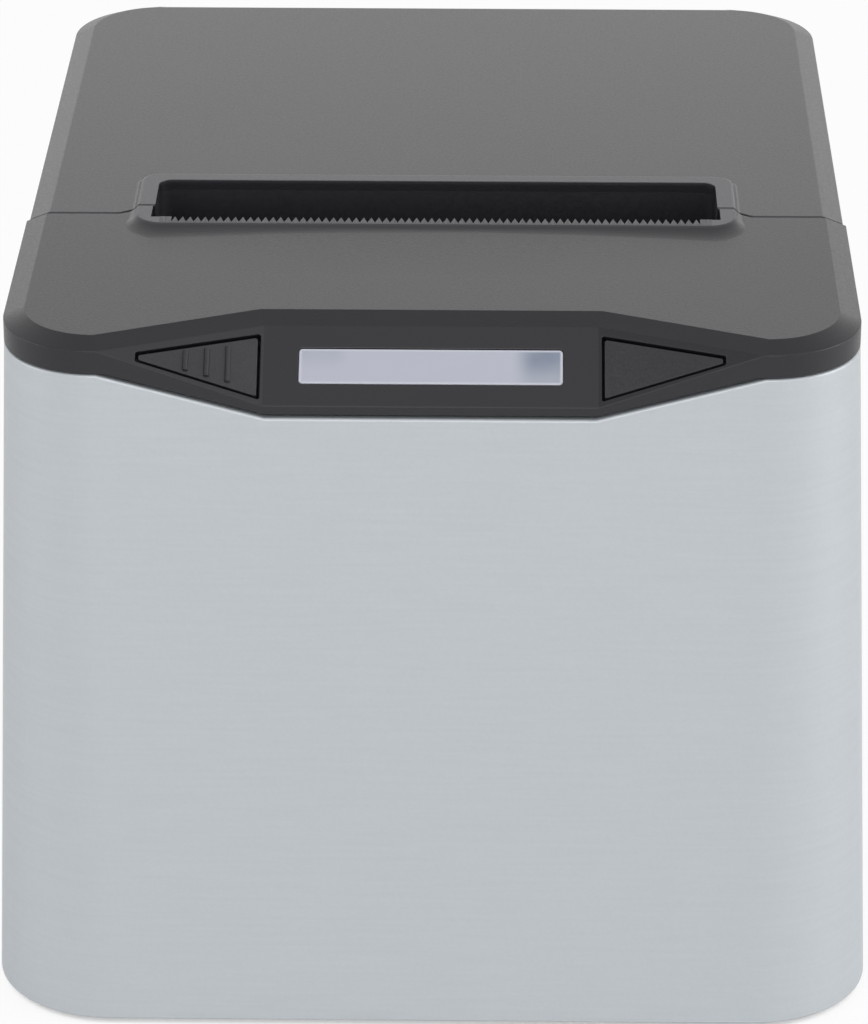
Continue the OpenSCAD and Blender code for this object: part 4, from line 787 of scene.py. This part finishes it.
def ribsTree():
    tree, given, named = newTree("gripRibs", {
        "Count": "Int", "Step": "Vector", "First": "Vector", "Length": "Float", "Shrink": "Float",
        "Width": "Float", "Rise": "Float", "Finish": "Material"})
    row = addNode(tree, "GeometryNodeMeshLine", {"Count": given["Count"], "Start Location": given["First"],
                                                 "Offset": given["Step"]})
    half = addNode(tree, "ShaderNodeMath", {0: given["Length"], 1: 0.5}, operation="MULTIPLY")
    back = addNode(tree, "ShaderNodeMath", {0: given["Length"], 1: -0.5}, operation="MULTIPLY")
    near = addNode(tree, "ShaderNodeCombineXYZ", {"Y": back})
    far = addNode(tree, "ShaderNodeCombineXYZ", {"Y": half})
    line = addNode(tree, "GeometryNodeCurvePrimitiveLine", {"Start": near, "End": far})
    hoop = addNode(tree, "GeometryNodeCurvePrimitiveCircle", {"Resolution": 20, "Radius": 1.0})
    side = addNode(tree, "ShaderNodeMath", {0: given["Width"], 1: 0.5}, operation="MULTIPLY")
    oval = addNode(tree, "ShaderNodeCombineXYZ", {"X": side, "Y": given["Rise"], "Z": 1.0})
    section = addNode(tree, "GeometryNodeTransform", {"Geometry": hoop, "Scale": oval})
    bar = addNode(tree, "GeometryNodeCurveToMesh", {"Curve": line, "Profile Curve": section,
                                                    "Fill Caps": True})
    which = addNode(tree, "GeometryNodeInputIndex")
    loss = addNode(tree, "ShaderNodeMath", {0: given["Shrink"], 1: given["Length"]}, operation="DIVIDE")
    lost = addNode(tree, "ShaderNodeMath", {0: which, 1: loss}, operation="MULTIPLY")
    kept = addNode(tree, "ShaderNodeMath", {0: 1.0, 1: lost}, operation="SUBTRACT")
    size = addNode(tree, "ShaderNodeCombineXYZ", {"X": 1.0, "Y": kept, "Z": 1.0})
    bars = addNode(tree, "GeometryNodeInstanceOnPoints", {"Points": row, "Instance": bar, "Scale": size})
    real = addNode(tree, "GeometryNodeRealizeInstances", {"Geometry": bars})
    smooth = addNode(tree, "GeometryNodeSetShadeSmooth", {"Geometry": real})
    endTree(tree, smooth, given["Finish"])
    return tree, named


def makeRibs():
    r = ribs
    piece = newPiece("gripRibs", bmesh.new())
    tree, named = ribsTree()
    first, step = (Vector((-x, y, z)) * mm for (x, y), z in ((r["first"], key["top"]), (r["step"], 0)))
    runTree(piece, tree, named, {"Count": r["count"], "Step": step, "First": first,
                                 "Length": r["length"] * mm, "Shrink": r["shrink"] * mm,
                                 "Width": r["width"] * mm, "Rise": r["rise"] * mm, "Finish": keyAbs})
    facet = onFacet(-1)
    piece.data.transform(Matrix.Translation(facet.translation * mm) @ facet.to_3x3().to_4x4())
    return place(piece, "feed_key", "key_grey", keyAbs)


makeRibs()
print("grip ribs made")

# pan-head screws with a cross recess, set where the frame has them
# wide is the head's radius as a share of the shank's; brow, crown and cross are shares of the head's
screws = {"radius": 1.3, "head": 1.2, "wide": 2.0, "brow": 0.94, "crown": 0.66, "cross": 1.1,
          "slotWide": 0.55, "slotDeep": 0.65, "shankSides": 20, "headSides": 28,
          "sets": {"tray_screws": ("chassis", (0, 0, -1)), "lid_screws": ("lid", (0, 0, -1)),
                   "cover_screws": ("chassis", (0, 0, -1)), "frame_screws": ("chassis", (0, 0, 1)),
                   "bucket_screws": ("chassis", (0, 0, 1)), "board_screws": ("chassis", (0, 0, 1)),
                   "motor_screws": ("chassis", (1, 0, 0))}}


def screwTree():
    w = screws
    tree, given, named = newTree("panHeadScrew", {
        "Geometry": "Geometry", "Radius": "Float", "Length": "Float", "Head": "Float", "Wide": "Float",
        "Slot wide": "Float", "Slot deep": "Float", "Turn": "Rotation", "Finish": "Material"})
    rim = addNode(tree, "ShaderNodeMath", {0: given["Radius"], 1: given["Wide"]}, operation="MULTIPLY")
    brow, crown, cross = (addNode(tree, "ShaderNodeMath", {0: rim, 1: w[share]}, operation="MULTIPLY")
                          for share in ("brow", "crown", "cross"))
    half = addNode(tree, "ShaderNodeMath", {0: given["Head"], 1: 0.5}, operation="MULTIPLY")
    down = addNode(tree, "ShaderNodeMath", {0: given["Length"], 1: -0.5}, operation="MULTIPLY")
    deep = addNode(tree, "ShaderNodeMath", {0: given["Slot deep"], 1: 2.0}, operation="MULTIPLY")
    skirt, dome = (addNode(tree, "GeometryNodeMeshCone", {"Vertices": w["headSides"], "Radius Top": top,
                                                          "Radius Bottom": bottom, "Depth": half})
                   for top, bottom in ((brow, rim), (crown, brow)))
    shank = addNode(tree, "GeometryNodeMeshCylinder", {"Vertices": w["shankSides"], "Radius": given["Radius"],
                                                       "Depth": given["Length"]})
    head = addNode(tree, "GeometryNodeMeshBoolean", operation="UNION", solver="EXACT")
    cut = addNode(tree, "GeometryNodeMeshBoolean", {"Mesh 1": head}, operation="DIFFERENCE", solver="EXACT")
    slots = []
    for long, short in (("X", "Y"), ("Y", "X")):
        size = addNode(tree, "ShaderNodeCombineXYZ", {long: cross, short: given["Slot wide"], "Z": deep})
        slots.append((addNode(tree, "GeometryNodeMeshCube", {"Size": size}), given["Head"], cut))
    # each shape is lifted to its height, and then joined to the head or cut from it
    for shape, height, into in [(skirt, 0.0, head), (dome, half, head), (shank, down, head)] + slots:
        lift = addNode(tree, "ShaderNodeCombineXYZ", {"Z": height})
        moved = addNode(tree, "GeometryNodeTransform", {"Geometry": shape, "Translation": lift})
        setInputs(tree, into, {"Mesh 2": moved})
    row = addNode(tree, "GeometryNodeInstanceOnPoints", {"Points": given["Geometry"], "Instance": cut,
                                                         "Rotation": given["Turn"]})
    real = addNode(tree, "GeometryNodeRealizeInstances", {"Geometry": row})
    endTree(tree, real, given["Finish"])
    return tree, named


# a frame node's mesh with its points joined where faces meet
def nodeMesh(name):
    bm = bmesh.new()
    bm.from_mesh(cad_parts[name].data)
    bmesh.ops.remove_doubles(bm, verts=bm.verts, dist=edges["weld"] * mm)
    return bm


# seat of each screw of a node, on the axis that its head points along, and the shank's length
def screwSeats(name, turn, head):
    bm = nodeMesh(name)
    left, seats, length = set(bm.verts), [], 0.0
    while left:
        group, todo = [], [left.pop()]
        while todo:
            v = todo.pop()
            group.append(turn.transposed() @ v.co)
            linked = left.intersection(e.other_vert(v) for e in v.link_edges)
            left -= linked
            todo += linked
        low, high = ([pick(p[k] for p in group) for k in range(3)] for pick in (min, max))
        seats.append(turn @ Vector(((low[0] + high[0]) / 2, (low[1] + high[1]) / 2, high[2] - head * mm)))
        length = high[2] - low[2] - head * mm
    bm.free()
    return seats, length


def makeScrews():
    w = screws
    tree, named = screwTree()
    for name, (body, way) in w["sets"].items():
        turn = Vector(way).to_track_quat("Z", "Y").to_matrix()
        seats, length = screwSeats(name, turn, w["head"])
        bm = bmesh.new()
        for seat in seats:
            bm.verts.new(seat)
        piece = newPiece(name.replace("_screws", "Screws"), bm)
        runTree(piece, tree, named, {
            "Radius": w["radius"] * mm, "Length": length, "Head": w["head"] * mm, "Wide": w["wide"],
            "Slot wide": w["slotWide"] * mm, "Slot deep": w["slotDeep"] * mm, "Turn": turn.to_euler(),
            "Finish": zincSteel})
        place(shadeSmooth(piece, 30.0), body, "plain_steel", zincSteel, name)


makeScrews()
print("screws made")


def makeSprings():
    piece = shadeSmooth(newPiece("headSprings", nodeMesh("head_springs")))
    place(piece, "chassis", "plain_steel", zincSteel, "head_springs")
    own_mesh(piece)


makeSprings()
print("springs made")

# carried-over solids and what each is made of
finishes = {
    innerAbs: ["base_tray", "lid_liner", "paper_bucket", "socket_plate", "switch_housing"],
    footRubber: ["rubber_feet"],
    bladeSteel: ["post_clip"],
    boardMask: ["panel_board", "main_board"],
    lampEpoxy: ["status_lamps"],
    chipEpoxy: ["feed_switch", "feed_plunger", "board_chips", "paper_sensor"],
    zincSteel: ["panel_screws", "hinge_pin", "platen_shaft", "gear_posts", "head_pin", "latch_shaft",
                "latch_spring", "usb_socket"],
    gearNylon: ["platen_bushes", "platen_gear", "idler_gear", "reduction_gear"],
    rollRubber: ["platen_roller"],
    pinionBrass: ["motor_pinion"],
    motorCan: ["stepper_motor"],
    sheetSteel: ["mechanism_frame", "latch_hooks"],
    headCeramic: ["thermal_head"],
    sinkAlloy: ["head_sink"],
    sleeveBlue: ["board_capacitors"],
    ribbonFilm: ["head_ribbon", "panel_ribbon"],
    socketPbt: ["power_jack", "drawer_socket"],
    rockerRed: ["power_rocker"],
}
for material, names in finishes.items():
    for name in names:
        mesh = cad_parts[name].data
        mesh.materials.clear()
        mesh.materials.append(material)
print("carried-over solids finished")

# floor that glows white to the camera, but for the gap under the shell, where its shadow shows
ground = {"half": 3000.0, "deep": -20.0, "colour": "#FAFAFA", "rough": 0.7, "glow": 0.88, "gap": 2.0,
          "shade": (0.22, 0.48)}


def makeFloor():
    g = ground
    mat, tree, shader = newMaterial("paleFloorPaint", g["colour"], g["rough"])
    shadow = addNode(tree, "ShaderNodeAmbientOcclusion", {"Distance": g["gap"] * mm})
    clear = addNode(tree, "ShaderNodeMapRange", {"Value": shadow.outputs["AO"], "From Min": g["shade"][0],
                                                 "From Max": g["shade"][1], "To Max": g["glow"]})
    rays = addNode(tree, "ShaderNodeLightPath")
    share = addNode(tree, "ShaderNodeMath", {0: rays.outputs["Is Camera Ray"], 1: clear},
                    operation="MULTIPLY")
    glow = addNode(tree, "ShaderNodeEmission", {"Color": (1, 1, 1, 1), "Strength": 1.0})
    mixed = addNode(tree, "ShaderNodeMixShader", {"Fac": share, 1: shader, 2: glow})
    output = next(n for n in tree.nodes if n.type == "OUTPUT_MATERIAL")
    setInputs(tree, output, {"Surface": mixed})
    floor = block("floor", -g["half"], g["half"], -g["half"], g["half"], g["deep"], 0)
    floor.data.materials.append(mat)


# world, white at the backdrop's height, greyer towards the ceiling, and dimmer as a light than to the eye
sky = {"height": (0.45, 0.85), "level": (1.0, 0.6), "light": 0.55}


def makeWorld():
    world = bpy.data.worlds.new("studio")
    scene.world = world
    world.use_nodes = True
    tree = world.node_tree
    tree.nodes.clear()
    rays = addNode(tree, "ShaderNodeLightPath").outputs
    mirrored = addNode(tree, "ShaderNodeMath", {0: rays["Is Camera Ray"], 1: rays["Is Glossy Ray"]},
                       operation="MAXIMUM")
    seen = addNode(tree, "ShaderNodeMath", {0: mirrored, 1: rays["Is Transmission Ray"]}, operation="MAXIMUM")
    spot = addNode(tree, "ShaderNodeTexCoord").outputs["Generated"]
    axes = addNode(tree, "ShaderNodeSeparateXYZ", {"Vector": spot})
    ceiling = addNode(tree, "ShaderNodeMapRange", {
        "Value": axes.outputs["Z"], "From Min": sky["height"][0], "From Max": sky["height"][1],
        "To Min": sky["level"][0], "To Max": sky["level"][1]})
    level = addNode(tree, "ShaderNodeMapRange", {"Value": seen, "To Min": sky["light"], "To Max": ceiling})
    back = addNode(tree, "ShaderNodeBackground", {"Color": (1, 1, 1, 1), "Strength": level})
    addNode(tree, "ShaderNodeOutputWorld", {"Surface": back})


# lamps, each with its place and size in metres and its power in watts, all aimed at the middle of the casing
aim = Vector((0, 0, 0.06))
lamps = {"backWide": ((0.0, 1.45, 0.38), (2.2, 0.4), 2.0),
         "sideLeft": ((-1.2, -0.2, 0.35), (0.7, 0.7), 2.4),
         "sideRight": ((1.2, -0.2, 0.35), (0.7, 0.7), 5.0),
         "frontFill": ((0.0, -1.35, 0.75), (0.9, 0.9), 6.0),
         "overhead": ((0.0, -0.27, 1.25), (0.7, 0.7), 0.7),
         "overRight": ((0.62, -0.27, 1.2), (0.5, 0.5), 0.8)}


def makeLamps():
    for name, (where, size, power) in lamps.items():
        data = bpy.data.lights.new(name, "AREA")
        data.shape = "RECTANGLE"
        data.size, data.size_y = size
        data.energy = power
        lamp = bpy.data.objects.new(name, data)
        lamp.location = where
        lamp.rotation_euler = (aim - Vector(where)).to_track_quat("-Z", "Y").to_euler()
        scene.collection.objects.link(lamp)


makeFloor()
makeWorld()
makeLamps()
print("floor, world and lamps set")
